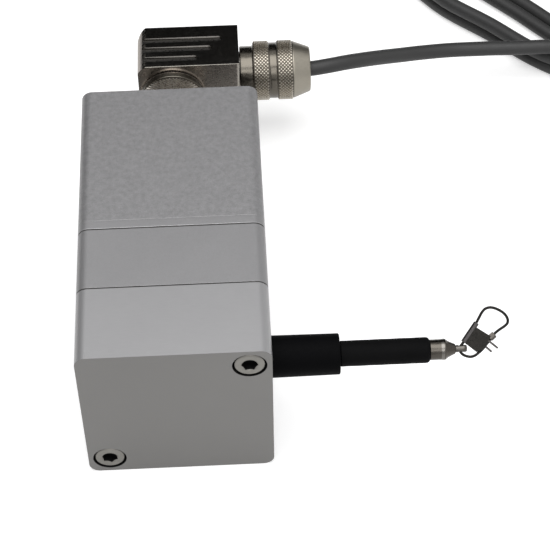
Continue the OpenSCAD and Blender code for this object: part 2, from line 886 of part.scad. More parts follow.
module elbow_groove(x_end, y) {
    translate([0, y, shaft_z + elbow_h / 2 - groove_depth]) {
        translate([-elbow_left - cut, -groove_d / 2, 0])
            cube([x_end + elbow_left + cut, groove_d, groove_depth + cut]);
        translate([x_end, 0, 0]) cylinder(h = groove_depth + cut, d = groove_d);
    }
}

module gland_nut() {
    x_band1 = gland_neck_len;
    x_groove = x_band1 + gland_band;
    x_band2 = x_groove + gland_groove;
    x_cone = x_band2 + gland_band;
    color("lightgray") difference() {
        union() {
            on_gland(x_gland) bar_x(gland_len - gland_cone, gland_neck_d);
            on_gland(x_gland + x_band1) bar_x(gland_band, gland_d);
            on_gland(x_gland + x_groove) bar_x(gland_groove, gland_d - 1);
            on_gland(x_gland + x_band2) bar_x(gland_band, gland_d);
            on_gland(x_gland + x_cone) rotate([0, 90, 0])
                cylinder(h = gland_cone, d1 = gland_d, d2 = gland_tip_d);
        }
        on_gland(x_gland - cut) bar_x(gland_spigot_len + cut, gland_spigot_d + 2 * run);
        on_gland(x_gland) bar_x(gland_len - 2.6, gland_case_d);
        on_gland(x_gland) bar_x(gland_len + cut, cable_d + 2 * loose);
    }
}

module gland_seal() {
    color("black") on_gland(elbow_right + gland_spigot_len + 0.1)
        bar_x(seal_len, gland_case_d - 2 * run, cable_d);
}

module clamp_ring() {
    color("gainsboro") on_gland(elbow_right + gland_spigot_len + seal_len + 0.2)
        bar_x(clamp_len, gland_case_d - 2 * run, cable_d);
}

// ---- nozzle and wire ----

module nozzle() {
    color("black") difference() {
        union() {
            on_wire(x_face - spigot_len) bar_x(spigot_len, spigot_d);
            on_wire(x_face) rotate([0, 90, 0]) cylinder(h = nozzle_len, d1 = nozzle_d, d2 = nozzle_tip_d);
        }
        on_wire(x_face - spigot_len - cut) bar_x(nozzle_len, 3);
        on_wire(x_nozzle_end - bush_len - wiper_len - cut)
            bar_x(bush_len + wiper_len + 2 * cut, bush_d);
    }
}

module nozzle_bush() {
    lip = 0.5;
    bore_r = wire_d / 2 + run;
    color("ivory") on_wire(x_nozzle_end - bush_len) rotate([0, 90, 0]) rotate_extrude() difference() {
        translate([bore_r, 0]) square([bush_d / 2 - slip - bore_r, bush_len]);
        for (end = [0, bush_len])
            translate([bore_r - cut, end - lip]) square([cut + lip, 2 * lip]);
    }
}

module nozzle_wiper() {
    color("tan") on_wire(x_nozzle_end - bush_len - wiper_len - 0.2)
        bar_x(wiper_len, bush_d - 2 * slip, wire_d + 2 * slip);
}

module measuring_wire() {
    x_start = 3.6;
    x_bend = x_face - spigot_len;
    start = [x_start, last_turn_y + (wire_y - last_turn_y) * x_start / x_bend, wire_z];
    bend = [x_bend, wire_y, wire_z];
    fleet = atan2(bend[1] - start[1], x_bend - x_start);
    color("silver") {
        translate(start) rotate([0, 0, fleet]) bar_x(norm(bend - start), wire_d);
        translate(bend) cylinder(h = wire_d + 0.06, d = wire_d + 0.06, center = true);
        translate(bend) bar_x(x_ferrule + 2.4 - x_bend, wire_d);
    }
}

module bumper_sleeve() {
    round_r = 0.8;
    bore_r = wire_d / 2 + loose;
    color("black") on_wire(x_bumper) rotate([0, 90, 0]) rotate_extrude() {
        translate([bore_r, 0]) square([bumper_d / 2 - bore_r, bumper_len - round_r]);
        translate([bore_r, 0]) square([bumper_d / 2 - bore_r - round_r, bumper_len]);
        translate([bumper_d / 2 - round_r, bumper_len - round_r]) circle(r = round_r);
    }
}

module ferrule() {
    barrel = 4.2;
    color("lightgray") difference() {
        on_wire(x_ferrule) rotate([0, 90, 0]) {
            cylinder(h = barrel, d1 = ferrule_d - 0.2, d2 = ferrule_d);
            translate([0, 0, barrel])
                cylinder(h = ferrule_len - barrel, d1 = ferrule_d, d2 = ferrule_tip_d);
        }
        on_wire(x_ferrule - cut) bar_x(2.4 + cut, wire_d + 2 * slip);
        on_wire(x_ferrule + 2.9) bar_x(2.1, stem_d + 1.6);
        on_wire(x_ferrule + 2.9) bar_x(ferrule_len, stem_d + 2 * run);
    }
}

module swivel_eye() {
    x_head = x_ferrule + 3.1;
    color("lightgray") difference() {
        union() {
            on_wire(x_head) bar_x(1.7, stem_d + 1.2);
            on_wire(x_head) bar_x(x_tab + 0.4 - x_head, stem_d);
            on_wire(0) rotate([snap_tilt, 0, 0]) {
                translate([x_tab, -tab_t / 2, -tab_w / 2]) cube([x_eye + 0.9 - x_tab, tab_t, tab_w]);
                translate([x_eye + 0.9, -tab_t / 2, 0]) bar_y(tab_t, tab_w);
            }
        }
        on_wire(x_eye) rotate([snap_tilt, 0, 0]) translate([0, -tab_t, 0])
            bar_y(2 * tab_t, eye_hole_d);
    }
}

// ---- snap hook, drawn flat in X and Y with the eye at the origin ----

function edge_out(i) =
    let (a = snap_corners[i], b = snap_corners[(i + 1) % 3], along = unit(b - a))
    [along[1], -along[0]];

function edge_angle(i) = atan2(edge_out(i)[1], edge_out(i)[0]);

function edge_start(i) = snap_corners[i] + snap_bend * edge_out(i);

function edge_len(i) = norm(snap_corners[(i + 1) % 3] - snap_corners[i]);

// Places a child on straight side i: X runs along it, +Y points outwards
module on_edge(i) {
    translate([edge_start(i)[0], edge_start(i)[1], 0])
        rotate([0, 0, edge_angle(i) - 90]) mirror([1, 0, 0]) children();
}

module in_snap_plane() {
    on_wire(x_eye) rotate([snap_tilt, 0, 0]) children();
}

module snap_wire() {
    color("gray") in_snap_plane() for (i = [0:2]) {
        // The straight sides are a hair thinner, so that their ends seat inside the bends
        on_edge(i) translate([-0.1, 0, 0]) bar_x(edge_len(i) + 0.2, snap_d - 0.02);
        sweep_angle = (edge_angle(i) - edge_angle((i + 2) % 3) + 360) % 360;
        translate([snap_corners[i][0], snap_corners[i][1], 0])
            rotate([0, 0, edge_angle((i + 2) % 3)])
                rotate_extrude(angle = sweep_angle) translate([snap_bend, 0]) circle(d = snap_d, $fn = 24);
    }
}

module snap_clasp() {
    roll_d = snap_d + 2 * slip + 2 * clasp_t;
    plate_z = snap_d / 2 + slip;
    left_len = edge_len(2);
    plate = [[-6.7, 0], [-1.1, 0], [-1.1, -5], [-2.6, -6.1], [-6.7, -5.9]];
    color("dimgray") in_snap_plane() difference() {
        union() {
            on_edge(2) translate([left_len - 7.5, 0, 0]) bar_x(6.6, roll_d);
            on_edge(2) translate([left_len, 0, plate_z]) linear_extrude(clasp_t) polygon(plate);
            on_edge(0) translate([6.9, 0, 0]) bar_x(1.8, roll_d);
            for (x = [4.1, 5.9])
                on_edge(0) translate([x, -1.2, plate_z]) cube([0.6, 4.4, clasp_t]);
        }
        on_edge(2) translate([left_len - 8.5, 0, 0]) bar_x(9, snap_d + 2 * slip);
        on_edge(0) translate([6, 0, 0]) bar_x(4, snap_d + 2 * slip);
    }
}

// ---- cable ----

function with_gland(p) =
    [p[0] + cable_shift[0], p[1] + cable_shift[1], p[2] + cable_rise * max(0, p[2] - cable_d / 2)];

module cable() {
    inside = [for (x = [2.2, 7.7, 15.7]) [x_gland + x, y_gland, shaft_z]];
    outside = [for (p = cable_run) with_gland(p)];
    color("dimgray") sweep(concat(inside, smooth(outside, 2)), cable_d, 12);
}

module in_loops() {
    translate([loops_at[0] + cable_shift[0], loops_at[1] + cable_shift[1], 0]) rotate([0, 0, -loops_turn])
        translate([loops_mid[0], loops_mid[1], 0]) children();
}

module oblong(r, h) {
    for (x = [-loops_half, loops_half])
        translate([x, 0, 0]) cylinder(h = h, r = r);
    translate([-loops_half, -r, 0]) cube([2 * loops_half, 2 * r, h]);
}

module cable_loops() {
    color("dimgray") in_loops() difference() {
        union() {
            oblong(loops_out_r, loops_h);
            translate([-loops_half - 6, -loops_out_r, 0]) cube([2 * loops_half + 12, ridge_w, ridge_h]);
        }
        translate([0, 0, -cut]) oblong(loops_in_r, loops_h + 2 * cut);
        difference() {
            translate([tie_at - tie_w / 2 - slip, loops_in_r, -cut])
                cube([tie_w + 2 * slip, loops_out_r, loops_h + 2 * cut]);
            translate([tie_at - tie_w, tie_from + slip, tie_t + slip])
                cube([2 * tie_w, tie_span - 2 * slip, loops_h]);
        }
        translate([-2 * loops_out_r, lead_from[1] - 2.9, -cut])
            cube([2 * loops_out_r, loops_out_r, loops_h + 2 * cut]);
    }
}

module cable_tie() {
    color("black") in_loops() translate([tie_at, 0, 0]) {
        difference() {
            translate([-tie_w / 2, tie_from - tie_t, 0])
                cube([tie_w, tie_span + 2 * tie_t, cable_d + 2 * tie_t + 0.4]);
            translate([-tie_w, tie_from, tie_t]) cube([2 * tie_w, tie_span, cable_d + 0.4]);
        }
        translate([-tie_w / 2 - 0.6, tie_from + 2, cable_d + 2 * tie_t + 0.4])
            cube([tie_w + 1.2, 5, 2.4]);
    }
}

module at_lead_end(x) {
    in_loops() translate([lead_from[0], lead_from[1], lead_sleeve_d / 2])
        rotate([0, 0, lead_turn]) translate([x, 0, 0]) children();
}

module lead_sleeve() {
    color("black") at_lead_end(0) bar_x(lead_sleeve_len, lead_sleeve_d);
}

// Each lead fans out over the surface from the sleeve: the upper ones come down between the others
function lead_place(i) = i < leads / 2 ? leads - 1 - 2 * i : 2 * i - leads;

function lead_point(i, t) =
    let (a = on_circle(1.7, i, leads), fan = (lead_place(i) - (leads - 1) / 2) * lead_fan * t)
    [lead_sleeve_len + lead_len * t, a[0] * (1 - t) + fan,
        a[1] * (1 - t) - (lead_sleeve_d - lead_d) / 2 * t];

module lead_wires() {
    color("white") at_lead_end(0) for (i = [0:leads - 1])
        sweep([for (t = [0:0.125:1]) lead_point(i, t)], lead_d, 8);
}

module lead_tips() {
    color("silver") at_lead_end(0) for (i = [0:leads - 1]) {
        end = lead_point(i, 1);
        back = lead_point(i, 0.875);
        translate(end) rotate([0, 0, atan2(end[1] - back[1], end[0] - back[0])])
            bar_x(lead_tip_len, lead_d * 0.7);
    }
}

drum_housing();
front_gasket();
spring_housing();
rear_gasket();
adapter_plate();
encoder_housing();
housing_screws();
bearing_outer_rings();
bearing_balls();
spring_post();
spiral_spring();
encoder_base();
standoffs();
encoder_screws();
encoder_board();
board_screws();
board_chips();
light_source();
optical_reader();
encoder_cap();
inner_wires();
connector_socket();
socket_gasket();
socket_nut();
socket_insert();
contact_pins();
plug_sleeve();
plug_insert();
plug_contacts();
elbow_housing();
gland_seal();
clamp_ring();
cable_cores();
nozzle();
nozzle_bush();
nozzle_wiper();
cable();
cable_loops();
cable_tie();
lead_sleeve();
lead_wires();
lead_tips();
wire_drum();
drum_shaft();
wire_winding();
bearing_inner_rings();
spring_arbor();
shaft_coupling();
encoder_shaft();
disc_hub();
code_disc();
set_screws();
measuring_wire();
bumper_sleeve();
ferrule();
swivel_eye();
snap_wire();
snap_clasp();
coupling_ring();
gland_nut();
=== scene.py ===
"""Draw wire encoder: the finished look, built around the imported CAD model.

Lengths in this script are millimetres unless a name ends in _m; MM turns them into metres.
"""
import json
import math

import bpy
from mathutils import Matrix, Vector

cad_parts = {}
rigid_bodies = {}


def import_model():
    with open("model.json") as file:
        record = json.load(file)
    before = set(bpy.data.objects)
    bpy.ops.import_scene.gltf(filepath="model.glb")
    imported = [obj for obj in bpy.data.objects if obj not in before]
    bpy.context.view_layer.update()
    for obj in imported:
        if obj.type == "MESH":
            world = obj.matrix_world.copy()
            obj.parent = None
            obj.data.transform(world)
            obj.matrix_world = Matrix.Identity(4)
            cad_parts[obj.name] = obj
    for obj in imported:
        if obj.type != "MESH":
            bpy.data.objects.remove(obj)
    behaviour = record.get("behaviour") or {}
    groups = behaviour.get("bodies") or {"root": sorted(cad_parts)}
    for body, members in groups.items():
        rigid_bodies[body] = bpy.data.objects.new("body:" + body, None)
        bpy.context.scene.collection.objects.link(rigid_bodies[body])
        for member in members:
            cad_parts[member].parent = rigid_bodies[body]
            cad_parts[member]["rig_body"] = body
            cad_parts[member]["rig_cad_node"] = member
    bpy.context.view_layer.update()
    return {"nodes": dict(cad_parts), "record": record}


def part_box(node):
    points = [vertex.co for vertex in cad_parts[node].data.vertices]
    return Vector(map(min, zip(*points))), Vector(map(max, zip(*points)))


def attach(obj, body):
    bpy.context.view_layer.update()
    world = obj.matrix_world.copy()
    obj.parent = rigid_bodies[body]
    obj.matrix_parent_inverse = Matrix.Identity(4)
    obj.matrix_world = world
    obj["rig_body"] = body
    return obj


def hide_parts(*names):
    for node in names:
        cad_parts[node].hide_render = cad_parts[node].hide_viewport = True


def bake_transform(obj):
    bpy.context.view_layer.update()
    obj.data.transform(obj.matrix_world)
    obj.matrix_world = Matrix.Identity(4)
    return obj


MM = 0.001
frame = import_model()


# ---------------------------------------------------------------- workshop helpers

def put_down():
    """Leaves edit mode and selects nothing."""
    if bpy.context.mode != "OBJECT":
        bpy.ops.object.mode_set(mode="OBJECT")
    bpy.ops.object.select_all(action="DESELECT")


def pick_up(piece):
    put_down()
    piece.select_set(True)
    bpy.context.view_layer.objects.active = piece


def call_it(name):
    piece = bpy.context.object
    piece.name = name
    piece.data.name = name
    return piece


def edit(piece, mode="FACE"):
    """Opens a piece in edit mode with nothing selected."""
    pick_up(piece)
    bpy.ops.object.mode_set(mode="EDIT")
    bpy.ops.mesh.select_mode(type=mode)
    bpy.ops.mesh.select_all(action="DESELECT")


def select_faces(piece, wanted):
    """Selects the faces whose centre and normal pass the test; edit mode stays open."""
    bpy.ops.object.mode_set(mode="OBJECT")
    for face in piece.data.polygons:
        face.select = wanted(face.center, face.normal)
    bpy.ops.object.mode_set(mode="EDIT")


def select_edges(piece, wanted):
    """Selects the edges whose two ends pass the test; edit mode stays open."""
    bpy.ops.mesh.select_mode(type="EDGE")
    bpy.ops.mesh.select_all(action="DESELECT")
    bpy.ops.object.mode_set(mode="OBJECT")
    points = piece.data.vertices
    for edge in piece.data.edges:
        a, b = (points[i].co for i in edge.vertices)
        edge.select = wanted(a, b)
    bpy.ops.object.mode_set(mode="EDIT")


def close_up(piece):
    """Merges doubles, turns the faces outwards and leaves edit mode."""
    pick_up(piece)
    bpy.ops.object.mode_set(mode="EDIT")
    bpy.ops.mesh.select_all(action="SELECT")
    bpy.ops.mesh.remove_doubles(threshold=1e-6)
    bpy.ops.mesh.normals_make_consistent(inside=False)
    bpy.ops.object.mode_set(mode="OBJECT")
    return piece


def apply_modifiers(piece):
    pick_up(piece)
    for modifier in list(piece.modifiers):
        bpy.ops.object.modifier_apply(modifier=modifier.name)
    return piece


def break_edges(piece, width, segments=2, angle=32):
    """A small rounding on every edge sharper than the angle."""
    bevel = piece.modifiers.new("edge", "BEVEL")
    bevel.width = width * MM
    bevel.segments = segments
    bevel.limit_method = "ANGLE"
    bevel.angle_limit = math.radians(angle)
    bevel.use_clamp_overlap = True
    return apply_modifiers(piece)


def smooth(piece, angle=35):
    """Smooth shading up to an angle, with large flat faces kept flat."""
    pick_up(piece)
    bpy.ops.object.shade_smooth_by_angle(angle=math.radians(angle))
    weigh = piece.modifiers.new("weigh", "WEIGHTED_NORMAL")
    weigh.keep_sharp = True
    return apply_modifiers(piece)


def place(piece, at=(0, 0, 0), basis=None):
    """Moves a piece made at the origin to its place and writes the place into its mesh."""
    turn = basis.to_4x4() if basis is not None else Matrix.Identity(4)
    piece.matrix_world = Matrix.Translation(Vector(at) * MM) @ turn
    pick_up(piece)
    bpy.ops.object.transform_apply(location=True, rotation=True, scale=True)
    return piece


def axes(x, y, z):
    """A turn that carries X, Y and Z onto the three directions."""
    return Matrix((x, y, z)).transposed()


# The pieces are made around Z, then turned so that Z runs along the wire or the body
ALONG_X = axes((0, 0, -1), (0, 1, 0), (1, 0, 0))
ALONG_Y = axes((1, 0, 0), (0, 0, -1), (0, 1, 0))


def turned(name, profile, sides=72):
    """A lathe piece around Z: a ring at the first (height, radius), extruded ring by ring.

    A profile that ends where it starts makes a hollow piece; any other is capped at both ends.
    """
    hollow = profile[0] == profile[-1]
    z, r = profile[0]
    put_down()
    bpy.ops.mesh.primitive_circle_add(
        vertices=sides, radius=r * MM, fill_type="NOTHING" if hollow else "NGON", location=(0, 0, z * MM))
    piece = call_it(name)
    bpy.ops.object.transform_apply(location=True, rotation=True, scale=True)
    bpy.ops.object.mode_set(mode="EDIT")
    bpy.ops.mesh.select_all(action="SELECT")
    for next_z, next_r in profile[1:]:
        if hollow:
            bpy.ops.mesh.extrude_edges_move(
                TRANSFORM_OT_translate={"value": (0, 0, (next_z - z) * MM)})
        else:
            bpy.ops.mesh.extrude_region_move(
                TRANSFORM_OT_translate={"value": (0, 0, (next_z - z) * MM)})
        bpy.ops.transform.resize(
            value=(next_r / r, next_r / r, 1), center_override=(0, 0, next_z * MM))
        z, r = next_z, next_r
    return close_up(piece)


def cut(piece, cutter, how="DIFFERENCE"):
    """Cuts one piece with another, which is used up."""
    boolean = piece.modifiers.new("cut", "BOOLEAN")
    boolean.operation = how
    boolean.solver = "EXACT"
    boolean.object = cutter
    apply_modifiers(piece)
    bpy.data.objects.remove(cutter)
    return piece


def join(name, pieces):
    put_down()
    for piece in pieces:
        piece.select_set(True)
    bpy.context.view_layer.objects.active = pieces[0]
    bpy.ops.object.join()
    return call_it(name)


def block(name, low, high):
    """A box between two corners."""
    put_down()
    middle = [(a + b) / 2 * MM for a, b in zip(low, high)]
    bpy.ops.mesh.primitive_cube_add(size=1, location=middle)
    piece = call_it(name)
    piece.scale = [(b - a) * MM for a, b in zip(low, high)]
    bpy.ops.object.transform_apply(location=True, rotation=True, scale=True)
    return piece


def rod(name, radius, start, length, sides=48):
    """A cylinder along Z from a start point."""
    put_down()
    middle = (start[0] * MM, start[1] * MM, (start[2] + length / 2) * MM)
    bpy.ops.mesh.primitive_cylinder_add(
        vertices=sides, radius=radius * MM, depth=length * MM, location=middle)
    piece = call_it(name)
    bpy.ops.object.transform_apply(location=True, rotation=True, scale=True)
    return piece


def copy_of(name, node):
    """A merged copy of a CAD node's mesh, with its flat faces whole again."""
    pick_up(frame["nodes"][node])
    bpy.ops.object.duplicate()
    piece = call_it(name)
    bpy.ops.object.parent_clear(type="CLEAR_KEEP_TRANSFORM")
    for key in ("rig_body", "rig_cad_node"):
        if key in piece:
            del piece[key]
    bpy.ops.mesh.customdata_custom_splitnormals_clear()
    bpy.ops.object.mode_set(mode="EDIT")
    bpy.ops.mesh.select_all(action="SELECT")
    bpy.ops.mesh.remove_doubles(threshold=2e-6)
    bpy.ops.mesh.dissolve_limited(angle_limit=math.radians(0.5))
    bpy.ops.object.mode_set(mode="OBJECT")
    return piece


def finish_bands(piece, base, bands):
    """Gives a lathe piece its finish, and another one to the outer faces between two heights."""
    piece.data.materials.append(base)
    for low, high, finish in bands:
        if finish.name not in piece.data.materials:
            piece.data.materials.append(finish)
        index = piece.data.materials.find(finish.name)
        for face in piece.data.polygons:
            at = face.center / MM
            if low < at.z < high and at.x * face.normal.x + at.y * face.normal.y > 0:
                face.material_index = index


def fit_out(piece, body, finish, slot, *nodes):
    """Gives a piece its finish and its body, and hides the CAD nodes that it stands for."""
    if not piece.data.materials:
        piece.data.materials.append(finish)
    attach(piece, body)
    if nodes:
        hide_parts(*nodes)
    return piece


# ---------------------------------------------------------------- camera

CAMERA_AT = Vector((17.8, -349.1, 441.4)) * MM
LOOK = Vector((0.0221, 0.6417, -0.7666)).normalized()
RIGHT = Vector((0.9989, -0.0466, -0.0102))
RIGHT = (RIGHT - LOOK * RIGHT.dot(LOOK)).normalized()
UP = RIGHT.cross(LOOK)

put_down()
bpy.ops.object.camera_add()
camera = call_it("camera")
camera.matrix_world = Matrix.Translation(CAMERA_AT) @ axes(RIGHT, UP, -LOOK).to_4x4()
camera.data.lens = 118.0
camera.data.sensor_width = 36.0
camera.data.clip_start = 0.01
bpy.context.scene.camera = camera


# ---------------------------------------------------------------- finishes

def new_finish(name):
    finish = bpy.data.materials.new(name)
    finish.use_nodes = True
    nodes = finish.node_tree.nodes
    shader = nodes["Principled BSDF"]
    return finish, nodes, finish.node_tree.links, shader


def noise(nodes, links, scale, detail=4.0, roughness=0.55, stretch=(1, 1, 1)):
    """Noise on Object coordinates; scale is turns per metre, stretch squeezes it along an axis."""
    place_on = nodes.new("ShaderNodeTexCoord")
    mapping = nodes.new("ShaderNodeMapping")
    mapping.inputs["Scale"].default_value = stretch
    texture = nodes.new("ShaderNodeTexNoise")
    texture.inputs["Scale"].default_value = scale
    texture.inputs["Detail"].default_value = detail
    texture.inputs["Roughness"].default_value = roughness
    links.new(place_on.outputs["Object"], mapping.inputs["Vector"])
    links.new(mapping.outputs["Vector"], texture.inputs["Vector"])
    return texture.outputs["Fac"]


def spread(nodes, links, value, low, high, source=(0.35, 0.65)):
    """Maps a noise value from its usual range to a range of numbers."""
    change = nodes.new("ShaderNodeMapRange")
    change.inputs["From Min"].default_value = source[0]
    change.inputs["From Max"].default_value = source[1]
    change.inputs["To Min"].default_value = low
    change.inputs["To Max"].default_value = high
    links.new(value, change.inputs["Value"])
    return change.outputs["Result"]


def blend_colours(nodes, links, value, dark, light):
    ramp = nodes.new("ShaderNodeValToRGB")
    ramp.color_ramp.elements[0].position = 0.32
    ramp.color_ramp.elements[0].color = (*dark, 1)
    ramp.color_ramp.elements[1].position = 0.68
    ramp.color_ramp.elements[1].color = (*light, 1)
    links.new(value, ramp.inputs["Fac"])
    return ramp.outputs["Color"]


RELIEF_M = 0.0002


def surface(name, colour, metal=0.0, rough=0.5, vary=0.12, patch=60.0, grain=1500.0,
            bump=0.05, rough_vary=0.06, stretch=(1, 1, 1), coat=0.0, specular=0.5, tint=(1, 1, 1)):
    """A finish with soft patches of colour, a fine grain, and roughness that follows it."""
    finish, nodes, links, shader = new_finish(name)
    shader.inputs["Metallic"].default_value = metal
    shader.inputs["Specular IOR Level"].default_value = specular
    shader.inputs["Coat Weight"].default_value = coat
    shader.inputs["Coat Roughness"].default_value = 0.2
    dark = [c * (1 - vary) for c in colour]
    light = [min(1, c * (1 + vary) * t) for c, t in zip(colour, tint)]
    patches = noise(nodes, links, patch, 5.0)
    fine = noise(nodes, links, grain, 3.0, 0.6, stretch)
    mix = nodes.new("ShaderNodeMath")
    mix.operation = "MULTIPLY_ADD"
    mix.inputs[1].default_value = 0.5
    links.new(patches, mix.inputs[0])
    half = nodes.new("ShaderNodeMath")
    half.operation = "MULTIPLY"
    half.inputs[1].default_value = 0.5
    links.new(fine, half.inputs[0])
    links.new(half.outputs[0], mix.inputs[2])
    links.new(blend_colours(nodes, links, mix.outputs[0], dark, light), shader.inputs["Base Color"])
    links.new(spread(nodes, links, fine, rough - rough_vary, rough + rough_vary),
              shader.inputs["Roughness"])
    if bump:
        relief = nodes.new("ShaderNodeBump")
        relief.inputs["Strength"].default_value = bump
        relief.inputs["Distance"].default_value = RELIEF_M
        links.new(fine, relief.inputs["Height"])
        links.new(relief.outputs["Normal"], shader.inputs["Normal"])
    return finish


CROSS_MILLED = (1, 26, 26)  # fine lines that run along X

# The finish of each material slot in the record
FINISHES = {}


def slot_finish(name, *values, **more):
    FINISHES[name] = surface(name, *values, **more)


slot_finish("anodised_end_block", (0.312, 0.310, 0.316), 0.45, 0.40, 0.06,
            25, 420, 0.035, 0.05, CROSS_MILLED)
slot_finish("anodised_block", (0.255, 0.253, 0.258), 0.45, 0.43, 0.08,
            30, 2600, 0.10, 0.06)
slot_finish("bare_aluminium", (0.72, 0.72, 0.74), 1.0, 0.34, 0.06,
            60, 500, 0.05, 0.06, (1, 30, 1))
slot_finish("screw_steel", (0.195, 0.188, 0.172), 0.8, 0.38, 0.12, 300, 1800, 0.08, 0.08)
slot_finish("bearing_steel", (0.72, 0.72, 0.74), 1.0, 0.16, 0.05, 80, 900, 0.03, 0.04)
slot_finish("spring_steel", (0.30, 0.33, 0.38), 1.0, 0.30, 0.15, 90, 700, 0.05, 0.06,
            (1, 20, 1), tint=(0.9, 0.98, 1.1))
slot_finish("gasket_rubber", (0.085, 0.085, 0.085), 0, 0.75, 0.25, 200, 2500, 0.15)
slot_finish("black_plastic", (0.018, 0.018, 0.019), 0, 0.45, 0.25, 120, 2200, 0.08)
slot_finish("nozzle_black", (0.0022, 0.0022, 0.0026), 0.0, 0.60, 0.2, 90, 1600,
            0.05, 0.06, (1, 1, 1), specular=0.03)
slot_finish("bumper_rubber", (0.0032, 0.0032, 0.0035), 0.0, 0.68, 0.3, 160, 1900,
            0.12, 0.06, specular=0.05)
slot_finish("bush_polymer", (0.78, 0.75, 0.66), 0, 0.35, 0.05, 90, 1200, 0.03)
slot_finish("wiper_felt", (0.42, 0.35, 0.25), 0, 0.95, 0.3, 500, 3500, 0.6)
slot_finish("wire_steel", (0.55, 0.55, 0.56), 1.0, 0.32, 0.2, 600, 2600, 0.2, 0.08,
            (0.25, 1, 1))
slot_finish("ferrule_nickel", (0.070, 0.064, 0.056), 1.0, 0.24, 0.16, 220, 900,
            0.08, 0.08, (1, 12, 12))
slot_finish("snap_steel", (0.014, 0.0132, 0.012), 0.85, 0.30, 0.25, 260, 1500, 0.08, 0.08,
            specular=0.2)
slot_finish("connector_nickel", (0.235, 0.216, 0.186), 1.0, 0.29, 0.10, 120, 1100,
            0.05, 0.06)
slot_finish("elbow_coat", (0.150, 0.143, 0.132), 1.0, 0.11, 0.08, 90, 900, 0.02, 0.02)
slot_finish("contact_gold", (0.86, 0.62, 0.26), 1.0, 0.2, 0.05, 150, 900, 0.02)
slot_finish("brass", (0.66, 0.47, 0.20), 1.0, 0.3, 0.12, 150, 900, 0.05)
slot_finish("board_green", (0.018, 0.12, 0.045), 0, 0.35, 0.3, 260, 1500, 0.05, coat=0.4)
slot_finish("disc_film", (0.25, 0.29, 0.31), 0, 0.15, 0.4, 700, 1500, 0.02, coat=0.6)
slot_finish("cable_grey", (0.031, 0.031, 0.031), 0, 0.50, 0.10, 35, 1800, 0.06, 0.06,
            specular=0.35)
slot_finish("core_insulation", (0.70, 0.28, 0.06), 0, 0.4, 0.1, 90, 1500, 0.03)
slot_finish("lead_insulation", (0.70, 0.68, 0.62), 0, 0.4, 0.08, 90, 1500, 0.03)
slot_finish("tinned_copper", (0.62, 0.60, 0.57), 1.0, 0.3, 0.15, 400, 1800, 0.15, 0.08)

# Other finishes, for parts of a piece
# End faces across Y: a finer-grained cut-end finish. Its darker colour is painted shade, standing for the
# shade on those faces
CUT_END_PAINTED_SHADE = surface("anodised_cut_end_painted_shade", (0.196, 0.192, 0.186), 0.45, 0.46, 0.06, 22, 1500, 0.05, 0.05)
REAR_CASE = surface("anodised_rear", (0.245, 0.243, 0.248), 0.45, 0.44, 0.19, 700, 2800, 0.26, 0.12)
# Painted shade: near-black for the counterbore walls and the hex key sockets, which lie in shade
PAINTED_SHADE_HOLE = surface("painted_shade_hole", (0.010, 0.010, 0.010), 0.3, 0.60, 0.20, 200, 1500, 0.05, specular=0.1)
# Painted highlight: a light copy of the elbow coat for its edge faces, standing for the light they catch
PAINTED_HIGHLIGHT_LIP = surface("painted_highlight_lip", (0.250, 0.235, 0.210), 1.0, 0.24, 0.08, 200, 900, 0)
# Painted shade: a darker copy of the elbow coat for the edge faces along the grooves
GROOVE_LIP_PAINTED_SHADE = surface("groove_lip_painted_shade", (0.085, 0.080, 0.074), 1.0, 0.30, 0.08, 200, 900, 0)
# Painted shade: a dark copy of the nickel for the floor between knurl points
KNURL_FLOOR_PAINTED_SHADE = surface("knurl_floor_painted_shade", (0.085, 0.077, 0.065), 1.0, 0.36, 0.15, 200, 1500, 0.05)
# Painted highlight: a lighter copy of the nickel for the gland's knurl points
KNURL_POINTS_PAINTED_HIGHLIGHT = surface("knurl_points_painted_highlight", (0.390, 0.360, 0.312), 1.0, 0.30, 0.10, 300, 1500, 0.05)
# Painted highlight: a light copy of the nickel for the ring's knurl points and its rear rim
RING_PAINTED_HIGHLIGHT = surface("ring_painted_highlight", (0.440, 0.410, 0.370), 1.0, 0.30, 0.12, 300, 1500, 0.05)
# Painted shade: a darker copy of the nickel for the gland's neck and the groove between its knurled bands
NECK_PAINTED_SHADE = surface("neck_nickel_painted_shade", (0.100, 0.091, 0.077), 1.0, 0.24, 0.10, 120, 1100, 0.04)
# Painted highlight: lighter copies of the snap steel for the clasp's roll, tab and tines
ROLL_PAINTED_HIGHLIGHT = surface("roll_painted_highlight", (0.042, 0.039, 0.039), 0.85, 0.30, 0.20, 260, 1500, 0.06)
TAB_PAINTED_HIGHLIGHT = surface("tab_painted_highlight", (0.085, 0.077, 0.069), 0.85, 0.32, 0.20, 260, 1500, 0.06)
TURNED_DARK = surface("turned_dark", (0.085, 0.080, 0.073), 1.0, 0.22, 0.20, 220, 900, 0.06, 0.06,
                      (1, 12, 12))
# Painted light: a light grey for the rear gasket, which lies in the shade of the seam
GASKET_PAINTED_LIGHT = surface("gasket_painted_light", (0.32, 0.32, 0.32), 0, 0.70, 0.30, 300, 2500, 0.10)
# Painted highlight: a light grey for the adapter plate's bevelled edges, standing for the light they catch
PAINTED_HIGHLIGHT_EDGE = surface("painted_highlight_edge", (0.46, 0.46, 0.47), 0.45, 0.40, 0.25, 500, 2500, 0.10)
# Painted highlight: a lighter copy of the ferrule nickel for a band on its bulge
FERRULE_PAINTED_HIGHLIGHT = surface("ferrule_painted_highlight", (0.135, 0.128, 0.118), 1.0, 0.22, 0.15, 220, 900, 0.06)
TINE_PAINTED_HIGHLIGHT = surface("tine_painted_highlight", (0.048, 0.044, 0.042), 0.85, 0.26, 0.20, 260, 1500, 0.06)
